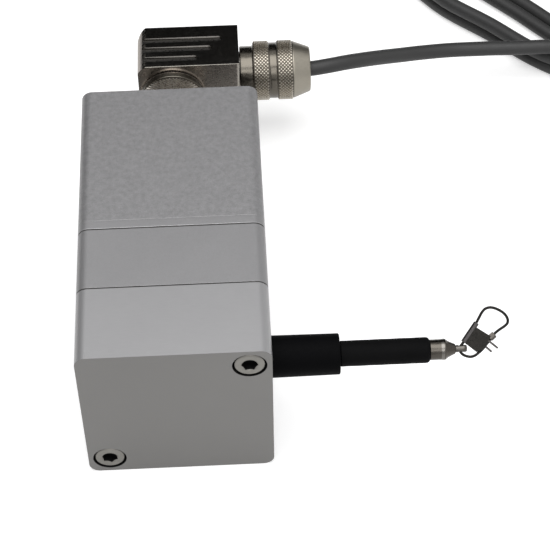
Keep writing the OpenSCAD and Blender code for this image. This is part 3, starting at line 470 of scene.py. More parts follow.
# Painted shade: a dark copy of the nickel for the smooth band behind the ring's knurl
RING_PAINTED_SHADE = surface("ring_painted_shade", (0.085, 0.078, 0.066), 1.0, 0.30, 0.12, 120, 1100, 0.04)
SATIN_CONE = surface("satin_cone", (0.265, 0.246, 0.208), 1.0, 0.40, 0.08, 90, 1400, 0.06)
# Painted light: a lighter copy of the elbow coat for its sides, so they render lighter than the top
ELBOW_SIDE_PAINTED_LIGHT = surface("elbow_side", (0.310, 0.282, 0.256), 1.0, 0.28, 0.03, 60, 900, 0, 0.02)
# Painted shade: a dark copy of the elbow coat for the groove floors
GROOVE_PAINTED_SHADE = surface("groove_painted_shade", (0.075, 0.072, 0.068), 1.0, 0.30, 0.05, 90, 900, 0)

for entry in frame["record"]["subparts"]:
    node = frame["nodes"][entry["node"]]
    node.data.materials.clear()
    node.data.materials.append(FINISHES[entry["material_slot"]])
# The rear gasket gets the light grey painted light in place of its rubber
frame["nodes"]["rear_gasket"].data.materials[0] = GASKET_PAINTED_LIGHT


# ---------------------------------------------------------------- the cable, first of all

CABLE_D = 5.0
# From inside the gland to where the cable joins its loops
RUN = [
    (24.5, 86.3, 27), (30, 86.3, 27), (38, 86.3, 27),
    (45.4, 86.3, 27), (51.5, 87.3, 27), (57.5, 89.3, 26.3), (63.5, 92.2, 24.5), (70, 96.1, 21.6),
    (77, 100.2, 18.4), (85, 104, 15.6), (95, 106.8, 13.6), (106, 107.6, 12.9), (118, 107.4, 12.9),
    (130, 107.2, 12.9), (143, 107.6, 10.9), (156, 110, 8.8), (168, 115.4, 7.8), (178, 124, 6),
    (184.6, 134.6, 3.6),
]
# The loops are an oblong hank, drawn around its own middle and turned 45 degrees on the surface
LOOPS_AT = (114.9, 123.2)
LOOPS_MID = (-4.0, 45.9)
LOOPS_R = 24.0
LOOPS_HALF = 24.0
LANE = 5.3
HANK_TURN_DEG = 45
STATIONS = [
    (0, 1), (30, 1), (60, 1), (90, 1), (90, 0), (90, -1), (120, -1), (150, -1),
    (180, -1), (210, -1), (240, -1), (270, -1), (270, 0), (270, 1), (300, 1), (330, 1),
]
# How far out each strand lies on the near side, by turn
NEAR_SIDE = [
    (0.6875, -0.4), (0.8125, 2.4), (1.6875, 5), (1.8125, 7.8),
    (2.6875, 22.6), (2.8125, 22), (3.6875, 22), (3.8125, 21.2),
]
# This part of the way round lies on top of the strands next to it
TOP_TURN = (2.25, 3.25)
STRAND_GAP = 0.1
# At the tie the strands lie higher, on its strap
TIE_STATIONS = (3, 4)
TIE_LIFT = 1.05
# The end, past the tie: along the far side, out from the middle, height
TAIL = [(12, 46.35, 3.55), (6, 46.45, 3.4), (0, 46.5, 2.8)]


def near_side(turn):
    if turn <= NEAR_SIDE[0][0]:
        return NEAR_SIDE[0][1]
    for (a, low), (b, high) in zip(NEAR_SIDE, NEAR_SIDE[1:]):
        if turn <= b:
            return low + (high - low) * (turn - a) / (b - a)
    return NEAR_SIDE[-1][1]


def lane(turn, nearness):
    return LANE * turn * (1 - nearness) + near_side(turn) * nearness


def on_surface(u, v, z):
    """From the hank's own plane to the row frame."""
    u += LOOPS_MID[0]
    v += LOOPS_MID[1]
    half = math.sqrt(0.5)
    return (LOOPS_AT[0] + (u + v) * half, LOOPS_AT[1] + (v - u) * half, z)


def loop_point(i):
    angle, end = STATIONS[i % len(STATIONS)]
    turn = i / len(STATIONS)
    angle = math.radians(angle)
    nearness = max(0.0, -math.sin(angle)) ** 2
    out = lane(turn, nearness)
    z = CABLE_D / 2
    if TOP_TURN[0] <= turn <= TOP_TURN[1]:
        step = lane(turn + 1, nearness) - out
        z += math.sqrt(max(0.0, (CABLE_D + STRAND_GAP) ** 2 - step * step))
    if i % len(STATIONS) in TIE_STATIONS:
        z = max(z, CABLE_D / 2 + TIE_LIFT)
    r = LOOPS_R + out
    return on_surface(LOOPS_HALF * end + r * math.cos(angle), r * math.sin(angle), z)


def soft_line(points, steps, closed=False):
    """A smooth line through points: a centripetal Catmull-Rom curve that never dips below them."""
    pts = [Vector(p) for p in points]
    if closed:
        pts = [pts[-1]] + pts + [pts[0], pts[1]]
    else:
        pts = [pts[0] * 2 - pts[1]] + pts + [pts[-1] * 2 - pts[-2]]
    line = []
    for a, b, c, d in zip(pts, pts[1:], pts[2:], pts[3:]):
        t0 = 0.0
        t1 = t0 + (b - a).length ** 0.5
        t2 = t1 + (c - b).length ** 0.5
        t3 = t2 + (d - c).length ** 0.5
        for k in range(steps):
            t = t1 + (t2 - t1) * k / steps
            a1 = a * ((t1 - t) / (t1 - t0)) + b * ((t - t0) / (t1 - t0))
            a2 = b * ((t2 - t) / (t2 - t1)) + c * ((t - t1) / (t2 - t1))
            a3 = c * ((t3 - t) / (t3 - t2)) + d * ((t - t2) / (t3 - t2))
            b1 = a1 * ((t2 - t) / (t2 - t0)) + a2 * ((t - t0) / (t2 - t0))
            b2 = a2 * ((t3 - t) / (t3 - t1)) + a3 * ((t - t1) / (t3 - t1))
            p = b1 * ((t2 - t) / (t2 - t1)) + b2 * ((t - t1) / (t2 - t1))
            p.z = max(p.z, min(b.z, c.z))
            line.append(p)
    return line if closed else line + [pts[-2]]


def tube(name, line, radius, sides=16, closed=False):
    """A round tube along a line, made as a curve and turned into a mesh."""
    put_down()
    bpy.ops.curve.primitive_nurbs_path_add(location=(0, 0, 0))
    piece = call_it(name)
    curve = piece.data
    curve.splines.clear()
    spline = curve.splines.new("POLY")
    spline.points.add(len(line) - 1)
    for point, at in zip(spline.points, line):
        point.co = (*(Vector(at) * MM), 1)
    spline.use_cyclic_u = closed
    curve.dimensions = "3D"
    curve.twist_mode = "MINIMUM"
    curve.bevel_depth = radius * MM
    curve.bevel_resolution = sides // 2 - 2
    curve.use_fill_caps = not closed
    pick_up(piece)
    bpy.ops.object.convert(target="MESH")
    piece = close_up(bpy.context.object)
    pick_up(piece)
    bpy.ops.object.shade_smooth_by_angle(angle=math.radians(50))
    return piece


route = RUN + [loop_point(i) for i in range(2, 68)] + [on_surface(*p) for p in TAIL]
cable_line = soft_line(route, 5)
cable = tube("signal_cable", cable_line, CABLE_D / 2)

# The heat-shrunk end and the eight cores that come out of it
SLEEVE_D = 5.6
SLEEVE_LEN = 12.0
LEAD_D = 0.9
LEAD_LEN = 18.0
LEAD_TIP = 4.0
LEAD_FAN = 1.6
LEAD_CIRCLE = 1.7
LEADS = 8
STRAND_R = 0.14
STRAND_OUT = 0.17
LEAD_BASIS = Matrix.Rotation(math.radians(172 - HANK_TURN_DEG), 3, "Z")
LEAD_AT = on_surface(0, 46.5, SLEEVE_D / 2)
LEAD_COLOURS = {
    "white": (0.72, 0.70, 0.66), "brown": (0.13, 0.055, 0.025), "green": (0.03, 0.22, 0.06),
    "yellow": (0.72, 0.52, 0.03), "grey": (0.20, 0.20, 0.21), "pink": (0.68, 0.25, 0.30),
    "blue": (0.02, 0.09, 0.38), "red": (0.42, 0.02, 0.02),
}


def lead_line(i):
    place_in_fan = LEADS - 1 - 2 * i if i < LEADS / 2 else 2 * i - LEADS
    angle = math.radians(360 / LEADS * (i + 0.5))
    points = []
    for k in range(-2, 9):
        t = k / 8
        s = max(t, 0.0)
        y = LEAD_CIRCLE * math.cos(angle) * (1 - s) + (place_in_fan - (LEADS - 1) / 2) * LEAD_FAN * s
        z = LEAD_CIRCLE * math.sin(angle) * (1 - s) - (SLEEVE_D - LEAD_D) / 2 * s
        points.append(Vector((SLEEVE_LEN + LEAD_LEN * t, y, z)))
    return points


for i, (word, colour) in enumerate(LEAD_COLOURS.items()):
    line = lead_line(i)
    lead = tube(f"lead_{word}", line, LEAD_D / 2, 10)
    place(lead, LEAD_AT, LEAD_BASIS)
    finish = surface(f"insulation_{word}", colour, 0, 0.38, 0.08, 90, 1500, 0.03)
    fit_out(lead, "housing", finish, "lead_insulation")
    ahead = (line[-1] - line[-2]).normalized()
    ahead.z = 0
    strands = []
    for s in range(5):
        a = 2 * math.pi * s / 5
        swirl = [line[-1] + ahead * (LEAD_TIP * k / 6)
                 + Vector((0, STRAND_OUT * math.cos(a + k * 0.5), STRAND_OUT * math.sin(a + k * 0.5)))
                 for k in range(7)]
        strands.append(tube(f"strand_{s}", swirl, STRAND_R, 6))
    tip = join(f"tip_{word}", strands)
    place(tip, LEAD_AT, LEAD_BASIS)
    fit_out(tip, "housing", FINISHES["tinned_copper"], "tinned_copper")
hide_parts("lead_wires")
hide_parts("lead_tips")

r = SLEEVE_D / 2
shrink = turned("shrink_sleeve", [
    (-2.4, 2.56), (-2.2, 2.72), (-1.2, 2.76), (1, r), (4, r - 0.05), (7, r - 0.02), (10, r - 0.1),
    (SLEEVE_LEN - 1, r - 0.35), (SLEEVE_LEN, 2.2), (SLEEVE_LEN, 1.9), (SLEEVE_LEN - 1.5, 1.9),
], 48)
smooth(place(shrink, LEAD_AT, LEAD_BASIS @ ALONG_X), 50)
fit_out(shrink, "housing", FINISHES["black_plastic"], "black_plastic", "lead_sleeve")

# The tie: a strap bent round the strands on the far side, with its ribs, head and tail
TIE_AT = 8.0
TIE_W = 5.0
TIE_T = 1.0
TIE_IN = 22.6
TIE_SPAN = 26.6
TIE_H = CABLE_D + 2 * TIE_T + 0.4
strap = block("strap", (-TIE_W / 2, TIE_IN - TIE_T, 0), (TIE_W / 2, TIE_IN + TIE_SPAN + TIE_T, TIE_H))
edit(strap)
select_faces(strap, lambda c, n: abs(n.x) > 0.9)
bpy.ops.mesh.delete(type="ONLY_FACE")
select_edges(strap, lambda a, b: abs(a.x - b.x) > TIE_W * 0.9 * MM)
bpy.ops.mesh.bevel(offset=2.2 * MM, segments=6)
bpy.ops.object.mode_set(mode="OBJECT")
wall = strap.modifiers.new("wall", "SOLIDIFY")
wall.thickness = TIE_T * MM
wall.offset = -1
apply_modifiers(strap)
ribs = []
for k in range(14):
    y = TIE_IN + 9.5 + k * 1.05
    ribs.append(block(f"rib_{k}", (-1.5, y, TIE_H - 0.1), (1.5, y + 0.5, TIE_H + 0.25)))
head = block("tie_head", (-TIE_W / 2 - 0.6, TIE_IN + 2, TIE_H - 0.4),
             (TIE_W / 2 + 0.6, TIE_IN + 7, TIE_H + 2.3))
break_edges(head, 0.6, 3)
window = block("tie_window", (-1.9, TIE_IN + 1, TIE_H + 0.25), (1.9, TIE_IN + 8, TIE_H + 1.4))
cut(head, window)
tongue = block("tie_tongue", (-1.8, TIE_IN - 1.5, TIE_H + 0.35), (1.8, TIE_IN + 8.2, TIE_H + 1.3))
break_edges(tongue, 0.2)
break_edges(strap, 0.15)
cable_tie = join("rubber_tie", [strap, head, tongue] + ribs)
place(cable_tie, on_surface(TIE_AT, 0, 0), Matrix.Rotation(math.radians(-HANK_TURN_DEG), 3, "Z"))
smooth(cable_tie, 30)
fit_out(cable_tie, "housing", FINISHES["black_plastic"], "black_plastic", "cable_tie")

fit_out(cable, "housing", FINISHES["cable_grey"], "cable_grey", "cable", "cable_loops")


# ---------------------------------------------------------------- housing blocks

SCREW_HEAD_R = 4.25
COUNTERBORE_R = 4.85
screw_low, screw_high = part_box("housing_screws")
screw_y = screw_low.y / MM
screw_x = screw_high.x / MM - SCREW_HEAD_R
shaft_z = (screw_low.z + screw_high.z) / 2 / MM


def in_counterbore(face):
    """True for the wall of either screw's counterbore, which lies in shade and gets painted shade."""
    for side in (1, -1):
        x = face.center.x / MM - side * screw_x
        z = face.center.z / MM - shaft_z - side * screw_x
        if math.hypot(x, z) < COUNTERBORE_R + 0.05 and abs(face.normal.y) < 0.5:
            return True
    return False


MAIN, END_FACE, HOLE, EDGE = range(4)


def housing_block(name, node, slot, finish, soften, edge=None):
    piece = copy_of(name, node)
    piece.data.materials.clear()
    for material in (finish, CUT_END_PAINTED_SHADE, PAINTED_SHADE_HOLE, edge):
        if material:
            piece.data.materials.append(material)
    break_edges(piece, soften, 2, 40)
    # End faces get the cut-end finish, darkened as painted shade
    for face in piece.data.polygons:
        facing = abs(face.normal.y)
        # Counterbore walls get the near-black painted shade
        face.material_index = HOLE if in_counterbore(face) else END_FACE if facing > 0.9 else MAIN
        # Bevelled edge faces get the painted highlight, where one is given
        if edge and 0.2 < facing < 0.9:
            face.material_index = EDGE
    smooth(piece, 32)
    return fit_out(piece, "housing", finish, slot, node)


housing_block("front_block", "drum_housing", "anodised_end_block", FINISHES["anodised_end_block"], 0.18)
housing_block("middle_block", "spring_housing", "anodised_block", FINISHES["anodised_block"], 0.14)
housing_block("adapter_ring", "adapter_plate", "anodised_block", FINISHES["anodised_block"], 0.26, PAINTED_HIGHLIGHT_EDGE)
housing_block("rear_block", "encoder_housing", "anodised_block", REAR_CASE, 0.20)

# Two long cap screws in their counterbores
SCREW_HEAD_H = 5.0
SCREW_LEN = 60.0
KEY_R = 4.1 / math.sqrt(3)
HEAD_PROUD = 0.22
screws = []
for name, side, turn in (("upper_screw", 1, 0), ("lower_screw", -1, 20)):
    screw = turned(name, [
        (0, 3.75), (0.08, 4.02), (0.32, SCREW_HEAD_R), (SCREW_HEAD_H - 0.15, SCREW_HEAD_R),
        (SCREW_HEAD_H, SCREW_HEAD_R - 0.15), (SCREW_HEAD_H, 2.75), (SCREW_HEAD_H + 0.25, 2.5),
        (SCREW_HEAD_H + SCREW_LEN - 0.7, 2.5), (SCREW_HEAD_H + SCREW_LEN, 1.9),
    ], 64)
    key_hole = rod("key_hole", KEY_R, (0, 0, -1), 3.6, 6)
    place(key_hole, (0, 0, 0), Matrix.Rotation(math.radians(30 + turn), 3, "Z"))
    cut(screw, key_hole)
    lead_in = turned("lead_in", [(-0.1, 2.5), (0.0, 2.4), (0.42, 1.9)], 48)
    cut(screw, lead_in)
    screw.data.materials.append(FINISHES["screw_steel"])
    screw.data.materials.append(PAINTED_SHADE_HOLE)
    # The hex key socket in each head gets the near-black painted shade
    for face in screw.data.polygons:
        inside = math.hypot(face.center.x, face.center.y) < KEY_R * MM
        face.material_index = 1 if inside and 0.3 * MM < face.center.z < 4 * MM else 0
    place(screw, (side * screw_x, screw_y - HEAD_PROUD, shaft_z + side * screw_x), ALONG_Y)
    smooth(screw, 30)
    screws.append(screw)
cap_screws = join("cap_screws", screws)
fit_out(cap_screws, "housing", FINISHES["screw_steel"], "screw_steel", "housing_screws")


# ---------------------------------------------------------------- nozzle and bumper

ferrule_low, ferrule_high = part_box("ferrule")
wire_y = (ferrule_low.y + ferrule_high.y) / 2 / MM
wire_z = (ferrule_low.z + ferrule_high.z) / 2 / MM
nozzle_low, nozzle_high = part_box("nozzle")
nozzle_x0, nozzle_x1 = nozzle_low.x / MM, nozzle_high.x / MM
face_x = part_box("drum_housing")[1].x / MM

nozzle = turned("nozzle_tube", [
    (nozzle_x0, 1.5), (nozzle_x0, 3.85), (nozzle_x0 + 0.15, 4.0), (face_x, 4.0), (face_x + 0.01, 5.8),
    (face_x + 0.25, 6.0), (nozzle_x1 - 0.25, 5.85), (nozzle_x1, 5.6), (nozzle_x1, 3.2),
    (nozzle_x1 - 0.2, 3.0), (nozzle_x1 - 12, 3.0), (nozzle_x1 - 12, 1.5), (nozzle_x0, 1.5),
], 96)
smooth(place(nozzle, (0, wire_y, wire_z), ALONG_X), 30)
fit_out(nozzle, "housing", FINISHES["nozzle_black"], "nozzle_black", "nozzle")

bumper_low, bumper_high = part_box("bumper_sleeve")
b0, b1 = bumper_low.x / MM, bumper_high.x / MM
r = (bumper_high.z - bumper_low.z) / 2 / MM
bumper_profile = [(b0, 0.55), (b0, r - 0.25), (b0 + 0.2, r - 0.02)]
bumper_profile += [(b0 + 0.2 + (b1 - b0 - 1.4) * k / 12, r - 0.02 - 0.035 * (k % 3 == 1))
                   for k in range(1, 12)]
bumper_profile += [(b1 - 1.1, r - 0.02), (b1 - 0.6, r - 0.10), (b1 - 0.25, r - 0.32), (b1 - 0.06, r - 0.62),
                   (b1, r - 0.95), (b1, 0.55), (b0, 0.55)]
bumper = turned("bumper", bumper_profile, 96)
smooth(place(bumper, (0, wire_y, wire_z), ALONG_X), 40)
fit_out(bumper, "wire_end", FINISHES["bumper_rubber"], "bumper_rubber", "bumper_sleeve")


# ---------------------------------------------------------------- ferrule, swivel and wire

f0 = ferrule_low.x / MM
f1 = ferrule_high.x / MM
ferrule = turned("ferrule_barrel", [
    (f0, 0.3), (f0, 2.8), (f0 + 0.15, 2.94), (f0 + 2.6, 2.94), (f0 + 3.2, 2.96), (f0 + 3.6, 3.04),
    (f0 + 4.1, 3.05), (f0 + 4.45, 2.98), (f0 + 4.7, 2.74), (f0 + 5.3, 2.32), (f0 + 6.1, 1.92),
    (f1 - 0.4, 1.56), (f1 - 0.1, 1.44), (f1, 1.32), (f1, 0.95), (f0 + 5.0, 0.95), (f0 + 5.0, 1.65),
    (f0 + 2.9, 1.65), (f0 + 2.9, 0.3), (f0, 0.3),
], 80)
# A band on the bulge gets the painted highlight
finish_bands(ferrule, FINISHES["ferrule_nickel"], [(f0 + 3.25, f0 + 4.2, FERRULE_PAINTED_HIGHLIGHT)])
smooth(place(ferrule, (0, wire_y, wire_z), ALONG_X), 28)
fit_out(ferrule, "wire_end", FINISHES["ferrule_nickel"], "ferrule_nickel", "ferrule")

# The snap lies in a plane that holds the wire's direction and is tilted about it
SNAP_TILT = math.radians(37.3)
TILTED = Matrix.Rotation(SNAP_TILT, 3, "X")
eye_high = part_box("swivel_eye")[1]
TAB_W = 2.2
TAB_REACH = 0.9
eye_x = eye_high.x / MM - TAB_REACH - TAB_W / 2

stem_x0 = f0 + 3.1
swivel = turned("swivel", [
    (stem_x0, 1.3), (stem_x0 + 0.15, 1.45), (stem_x0 + 1.55, 1.45), (stem_x0 + 1.7, 1.3),
    (stem_x0 + 1.7, 0.85),
    (f1 - 0.35, 0.85), (f1 - 0.02, 0.93), (f1 + 0.3, 1.06), (eye_x, 1.10), (eye_x + 0.9, 1.14),
    (eye_x + 1.55, 1.08), (eye_x + 1.85, 0.86), (eye_x + 1.97, 0.4),
], 48)
for point in swivel.data.vertices:
    along = point.co.z / MM
    flat = min(1.0, max(0.0, (along - f1) / 0.9))
    point.co.x *= 1 - flat * 0.10
    point.co.y = max(-1.0 * MM, min(1.0 * MM, point.co.y)) if flat > 0.6 else point.co.y
place(swivel, (0, wire_y, wire_z), TILTED @ ALONG_X)
hole = rod("eye_hole", 0.7, (0, 0, -3), 6, 40)
place(hole, (eye_x, wire_y, wire_z), TILTED @ ALONG_Y)
cut(swivel, hole)
smooth(swivel, 35)
fit_out(swivel, "swivel", TURNED_DARK, "ferrule_nickel", "swivel_eye")

# The wire leaves the winding's last turn, bends at the nozzle and runs straight to the ferrule
WIRE_D = 0.5
OFF_DRUM_X = 3.6
last_turn_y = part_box("wire_winding")[1].y / MM - WIRE_D / 2
wire_start = Vector((OFF_DRUM_X, 0, wire_z))
wire_start.y = last_turn_y + (wire_y - last_turn_y) * OFF_DRUM_X / nozzle_x0
bend = Vector((nozzle_x0, wire_y, wire_z))
wire_line = [wire_start.lerp(bend, k / 5) for k in range(6)]
wire_line += [Vector((x, wire_y, wire_z)) for x in (nozzle_x0 + 1, 26, 34, 42, 45.5, 52, 60, 68, f0 + 2.4)]
measuring_wire = tube("pulled_wire", wire_line, WIRE_D / 2, 14)
measuring_wire.data.materials.append(FINISHES["wire_steel"])
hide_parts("measuring_wire")
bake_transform(measuring_wire)


# ---------------------------------------------------------------- snap hook

SNAP_D = 0.8
SNAP_AT = (eye_x, wire_y, wire_z)
# The bent wire, flat in its own plane: along the pull, and across it
SNAP_LINE = [
    (-0.2, -0.1), (0.17, -1.15), (0.75, -1.75), (1.65, -2.2), (2.94, -2.45), (4.2, -2.1), (5.11, -1.45),
    (6.29, -0.5), (8.2, 1.7), (9.6, 3.35), (10.3, 4.1), (11.6, 5.0), (12.97, 5.85), (13.75, 6.6),
    (13.9, 7.6), (13.5, 8.65), (12.65, 9.65), (11.4, 10.5), (10, 11.1), (8.85, 11.25), (7.7, 10.95),
    (6.7, 10.0), (5.75, 8.45), (5.0, 7.2), (2.93, 4.14), (1.6, 2.45), (0.75, 1.4), (0.1, 0.6),
]
snap_ring = tube("snap_ring", soft_line([(x, y, 0) for x, y in SNAP_LINE], 4, closed=True),
                 SNAP_D / 2, 16, closed=True)
place(snap_ring, SNAP_AT, TILTED)
fit_out(snap_ring, "snap", FINISHES["snap_steel"], "snap_steel", "snap_wire")

# Clasp: a sheet whose left side is rolled round the wire, with a hooked tab and two tines.
# Each side of the snap has its own axes: X along the side, Y to the left of it, Z out of the plane.
CLASP_T = 0.35
ROLL_R = SNAP_D / 2 + 0.05 + CLASP_T / 2
LEFT_SIDE = ((0.49, 1.05), (0.600, 0.800))
RIGHT_SIDE = ((3.36, -1.83), (0.785, 0.620))


def on_side(piece, side):
    (x, y), (c, s) = side
    return place(piece, (x, y, 0), axes((c, s, 0), (-s, c, 0), (0, 0, 1)))


def sheet_strip(name, x0, x1, reach, sweep_deg, out):
    """A strip of sheet from inside the loop to the wire, then rolled round it."""
    put_down()
    bpy.ops.mesh.primitive_plane_add(size=1, location=(0, 0, 0))
    piece = call_it(name)
    piece.scale = ((x1 - x0) * MM, reach * MM, 1)
    piece.location = ((x0 + x1) / 2 * MM, -out * reach / 2 * MM, ROLL_R * MM)
    bpy.ops.object.transform_apply(location=True, rotation=True, scale=True)
    edit(piece, "EDGE")
    select_edges(piece, lambda a, b: abs(a.y) < 1e-6 and abs(b.y) < 1e-6)
    steps = max(1, round(sweep_deg / 18))
    turn = Matrix.Rotation(-out * math.radians(sweep_deg / steps), 3, "X")
    for _ in range(steps):
        bpy.ops.mesh.extrude_edges_move(TRANSFORM_OT_translate={"value": (0, 0, 0)})
        bpy.ops.object.mode_set(mode="OBJECT")
        for point in piece.data.vertices:
            if point.select:
                point.co = turn @ point.co
        bpy.ops.object.mode_set(mode="EDIT")
    bpy.ops.object.mode_set(mode="OBJECT")
    wall = piece.modifiers.new("wall", "SOLIDIFY")
    wall.thickness = CLASP_T * MM
    wall.offset = 0
    apply_modifiers(piece)
    close_up(piece)
    return break_edges(piece, 0.09, 2, 40)


def trim(piece, corner_a, corner_b):
    """Cuts a flat piece along a line between two corners and keeps what lies left of the line."""
    a, b = (Vector((*c, 0)) * MM for c in (corner_a, corner_b))
    edit(piece, "FACE")
    bpy.ops.mesh.select_all(action="SELECT")
    outward = Vector((b.y - a.y, a.x - b.x, 0)).normalized()
    bpy.ops.mesh.bisect(plane_co=a, plane_no=outward, use_fill=True, clear_outer=True)
    bpy.ops.object.mode_set(mode="OBJECT")
    return piece


PLATE = [(6.4, -0.2), (0.9, -0.2), (0.6, -4.6), (2.8, -6.0), (6.6, -5.4)]
PLATE_LEVEL = 0.16
PLATE_SLOPE = math.radians(-4.7)
plate = block("clasp_plate", (0, -7, PLATE_LEVEL), (8, 0, PLATE_LEVEL + CLASP_T))
for a, b in zip(PLATE[1:] + PLATE[:1], PLATE):
    trim(plate, b, a)
close_up(plate)
break_edges(plate, 0.09, 2)
place(plate, (0, 0, 0), Matrix.Rotation(PLATE_SLOPE, 3, "X"))
strips = [
    on_side(plate, LEFT_SIDE),
    on_side(sheet_strip("clasp_roll", 0.9, 7.5, 0.5, 318, 1), LEFT_SIDE),
    on_side(sheet_strip("clasp_tab", 6.7, 8.5, 1.2, 250, -1), RIGHT_SIDE),
]
TINE_W = 0.6
for name, start, end in (("tine_upper", (5.9, 0.35), (6.6, -3.34)),
                         ("tine_lower", (4.2, -0.29), (4.6, -3.0))):
    run = Vector(end) - Vector(start)
    tine = block(name, (0, -TINE_W / 2, 0.45), (run.length, TINE_W / 2, 0.45 + CLASP_T))
    break_edges(tine, 0.12, 2)
    place(tine, (*start, 0), Matrix.Rotation(math.atan2(run.y, run.x), 3, "Z"))
    strips.append(on_side(tine, RIGHT_SIDE))
# The plate keeps the snap steel; the roll, tab and tines get their painted highlight copies
for strip, finish in zip(strips, (FINISHES["snap_steel"], ROLL_PAINTED_HIGHLIGHT, TAB_PAINTED_HIGHLIGHT, TINE_PAINTED_HIGHLIGHT, TINE_PAINTED_HIGHLIGHT)):
    strip.data.materials.append(finish)
clasp = join("clasp", strips)
place(clasp, SNAP_AT, TILTED)
smooth(clasp, 32)
fit_out(clasp, "snap", FINISHES["snap_steel"], "snap_steel", "snap_clasp")


# ---------------------------------------------------------------- connector

# A point's foot and top, as shares of the pitch, and how deep it sits in the metal under it
POINT_FOOT = 0.46
POINT_TOP = 0.24
POINT_SINK = 0.03


def knurl(name, radius, z0, length, count, height, finish):
    """A band of diamond points around Z. One point is modelled for each row, then spun round."""
    pitch = 2 * math.pi * radius / count
    rows = int(length / (pitch / 2)) - 1
    start = z0 + (length - (rows - 1) * pitch / 2) / 2
    bands = []
    for row in range(rows):
        a = math.pi / count * (row % 2)
        z = start + row * pitch / 2
        out = radius + height / 2 - POINT_SINK
        put_down()
        bpy.ops.mesh.primitive_cone_add(
            vertices=4, radius1=pitch * POINT_FOOT * MM, radius2=pitch * POINT_TOP * MM,
            depth=height * MM,
            location=(out * math.cos(a) * MM, out * math.sin(a) * MM, z * MM),
            rotation=(0, math.pi / 2, a))
        point = call_it(f"{name}_{row}")
        bpy.ops.object.transform_apply(location=True, rotation=True, scale=True)
        bpy.ops.object.mode_set(mode="EDIT")
        bpy.ops.mesh.select_all(action="SELECT")
        bpy.ops.mesh.spin(steps=count - 1, dupli=True, angle=2 * math.pi * (count - 1) / count,
                          center=(0, 0, 0), axis=(0, 0, 1))
        bpy.ops.object.mode_set(mode="OBJECT")
        bands.append(point)
    points = join(name, bands)
    points.data.materials.append(finish)
    return points


ring_low, ring_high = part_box("coupling_ring")
ring_y0, ring_y1 = ring_low.y / MM, ring_high.y / MM
ring_r = (ring_high.x - ring_low.x) / 2 / MM
ring_len = ring_y1 - ring_y0
KNURL_H = 0.42
RIM = 2.5
floor_r = ring_r - KNURL_H + 0.02
coupling = turned("ring_body", [
    (0, 8.0), (0, ring_r - 0.9), (0.35, ring_r - 0.55), (1.6, ring_r - 0.5), (1.8, floor_r),
    (ring_len - RIM - 0.1, floor_r), (ring_len - RIM, ring_r - 0.12), (ring_len - RIM + 0.2, ring_r),
    (ring_len - 0.72, ring_r), (ring_len - 0.4, ring_r - 0.04), (ring_len - 0.15, ring_r - 0.16),
    (ring_len, ring_r - 0.38),
    (ring_len, 7.6), (ring_len - 0.6, 7.6), (ring_len - 8.2, 7.6), (ring_len - 8.2, 9.0),
    (ring_len - 11.0, 9.0), (ring_len - 11.0, 8.0), (0, 8.0),
], 96)
# Ring bands: painted shade on the knurl floor and on the smooth band behind it, painted highlight on the rear
# rim
finish_bands(coupling, FINISHES["connector_nickel"], [
    (1.8, ring_len - RIM - 0.1, KNURL_FLOOR_PAINTED_SHADE), (ring_len - RIM - 0.1, ring_len - 0.7, RING_PAINTED_SHADE),
    (ring_len - 0.7, ring_len - 0.01, RING_PAINTED_HIGHLIGHT)])
# The ring's knurl points get the painted highlight too
ring_points = knurl("ring_points", floor_r, 1.9, ring_len - RIM - 2.1, 60, KNURL_H, RING_PAINTED_HIGHLIGHT)
coupling = join("coupling_ring_knurled", [coupling, ring_points])
smooth(place(coupling, (0, ring_y0, shaft_z), ALONG_Y), 28)
fit_out(coupling, "coupling_ring", FINISHES["connector_nickel"], "connector_nickel", "coupling_ring")

gland_low, gland_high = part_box("gland_nut")
gland_x0 = gland_low.x / MM
gland_y = (gland_low.y + gland_high.y) / 2 / MM
gland_r = (gland_high.z - gland_low.z) / 2 / MM
NECK = 4.3
BAND = 5.4
GROOVE = 2.4
CONE = 5.6
g1, g2 = NECK + BAND, NECK + BAND + GROOVE
g3 = g2 + BAND
g4 = g3 + CONE
deep = gland_r - KNURL_H + 0.02
waist = gland_r - 0.62
gland = turned("gland_body", [
    (0, 6.6), (0, 8.0), (0.25, 8.3), (NECK - 0.3, 8.3), (NECK - 0.1, 8.5), (NECK, deep - 0.15),
    (NECK + 0.2, deep), (g1 - 0.2, deep), (g1, deep - 0.15), (g1 + 0.1, waist),
    (g1 + 0.4, waist + 0.07), (g2 - 0.4, waist + 0.07), (g2 - 0.1, waist), (g2, deep - 0.15),
    (g2 + 0.2, deep), (g3 - 0.2, deep), (g3 - 0.05, deep - 0.05), (g3 + 0.15, gland_r - 0.42),
    (g4 - 0.5, 7.45), (g4 - 0.15, 7.2), (g4, 6.9), (g4, 3.1), (g4 - 0.3, 2.8),
    (g4 - 2.6, 2.8), (g4 - 2.6, 5.5), (8, 5.5), (8, 6.6), (0, 6.6),
], 96)
# Gland bands: painted shade on the knurl floors, and a darker nickel as painted shade on the neck and the
# groove between the bands
finish_bands(gland, FINISHES["connector_nickel"], [
    (0, NECK, NECK_PAINTED_SHADE), (g1, g2, NECK_PAINTED_SHADE),
    (NECK, g1, KNURL_FLOOR_PAINTED_SHADE), (g2, g3, KNURL_FLOOR_PAINTED_SHADE), (g3, g4 + 0.1, SATIN_CONE)])
# The gland's knurl points get the painted highlight
gland_points = [
    knurl("near_points", deep, NECK + 0.05, BAND - 0.1, 52, KNURL_H, KNURL_POINTS_PAINTED_HIGHLIGHT),
    knurl("far_points", deep, g2 + 0.05, BAND - 0.1, 52, KNURL_H, KNURL_POINTS_PAINTED_HIGHLIGHT),
]
gland = join("gland_nut_knurled", [gland] + gland_points)
smooth(place(gland, (gland_x0, gland_y, shaft_z), ALONG_X), 28)
fit_out(gland, "gland_nut", FINISHES["connector_nickel"], "connector_nickel", "gland_nut")

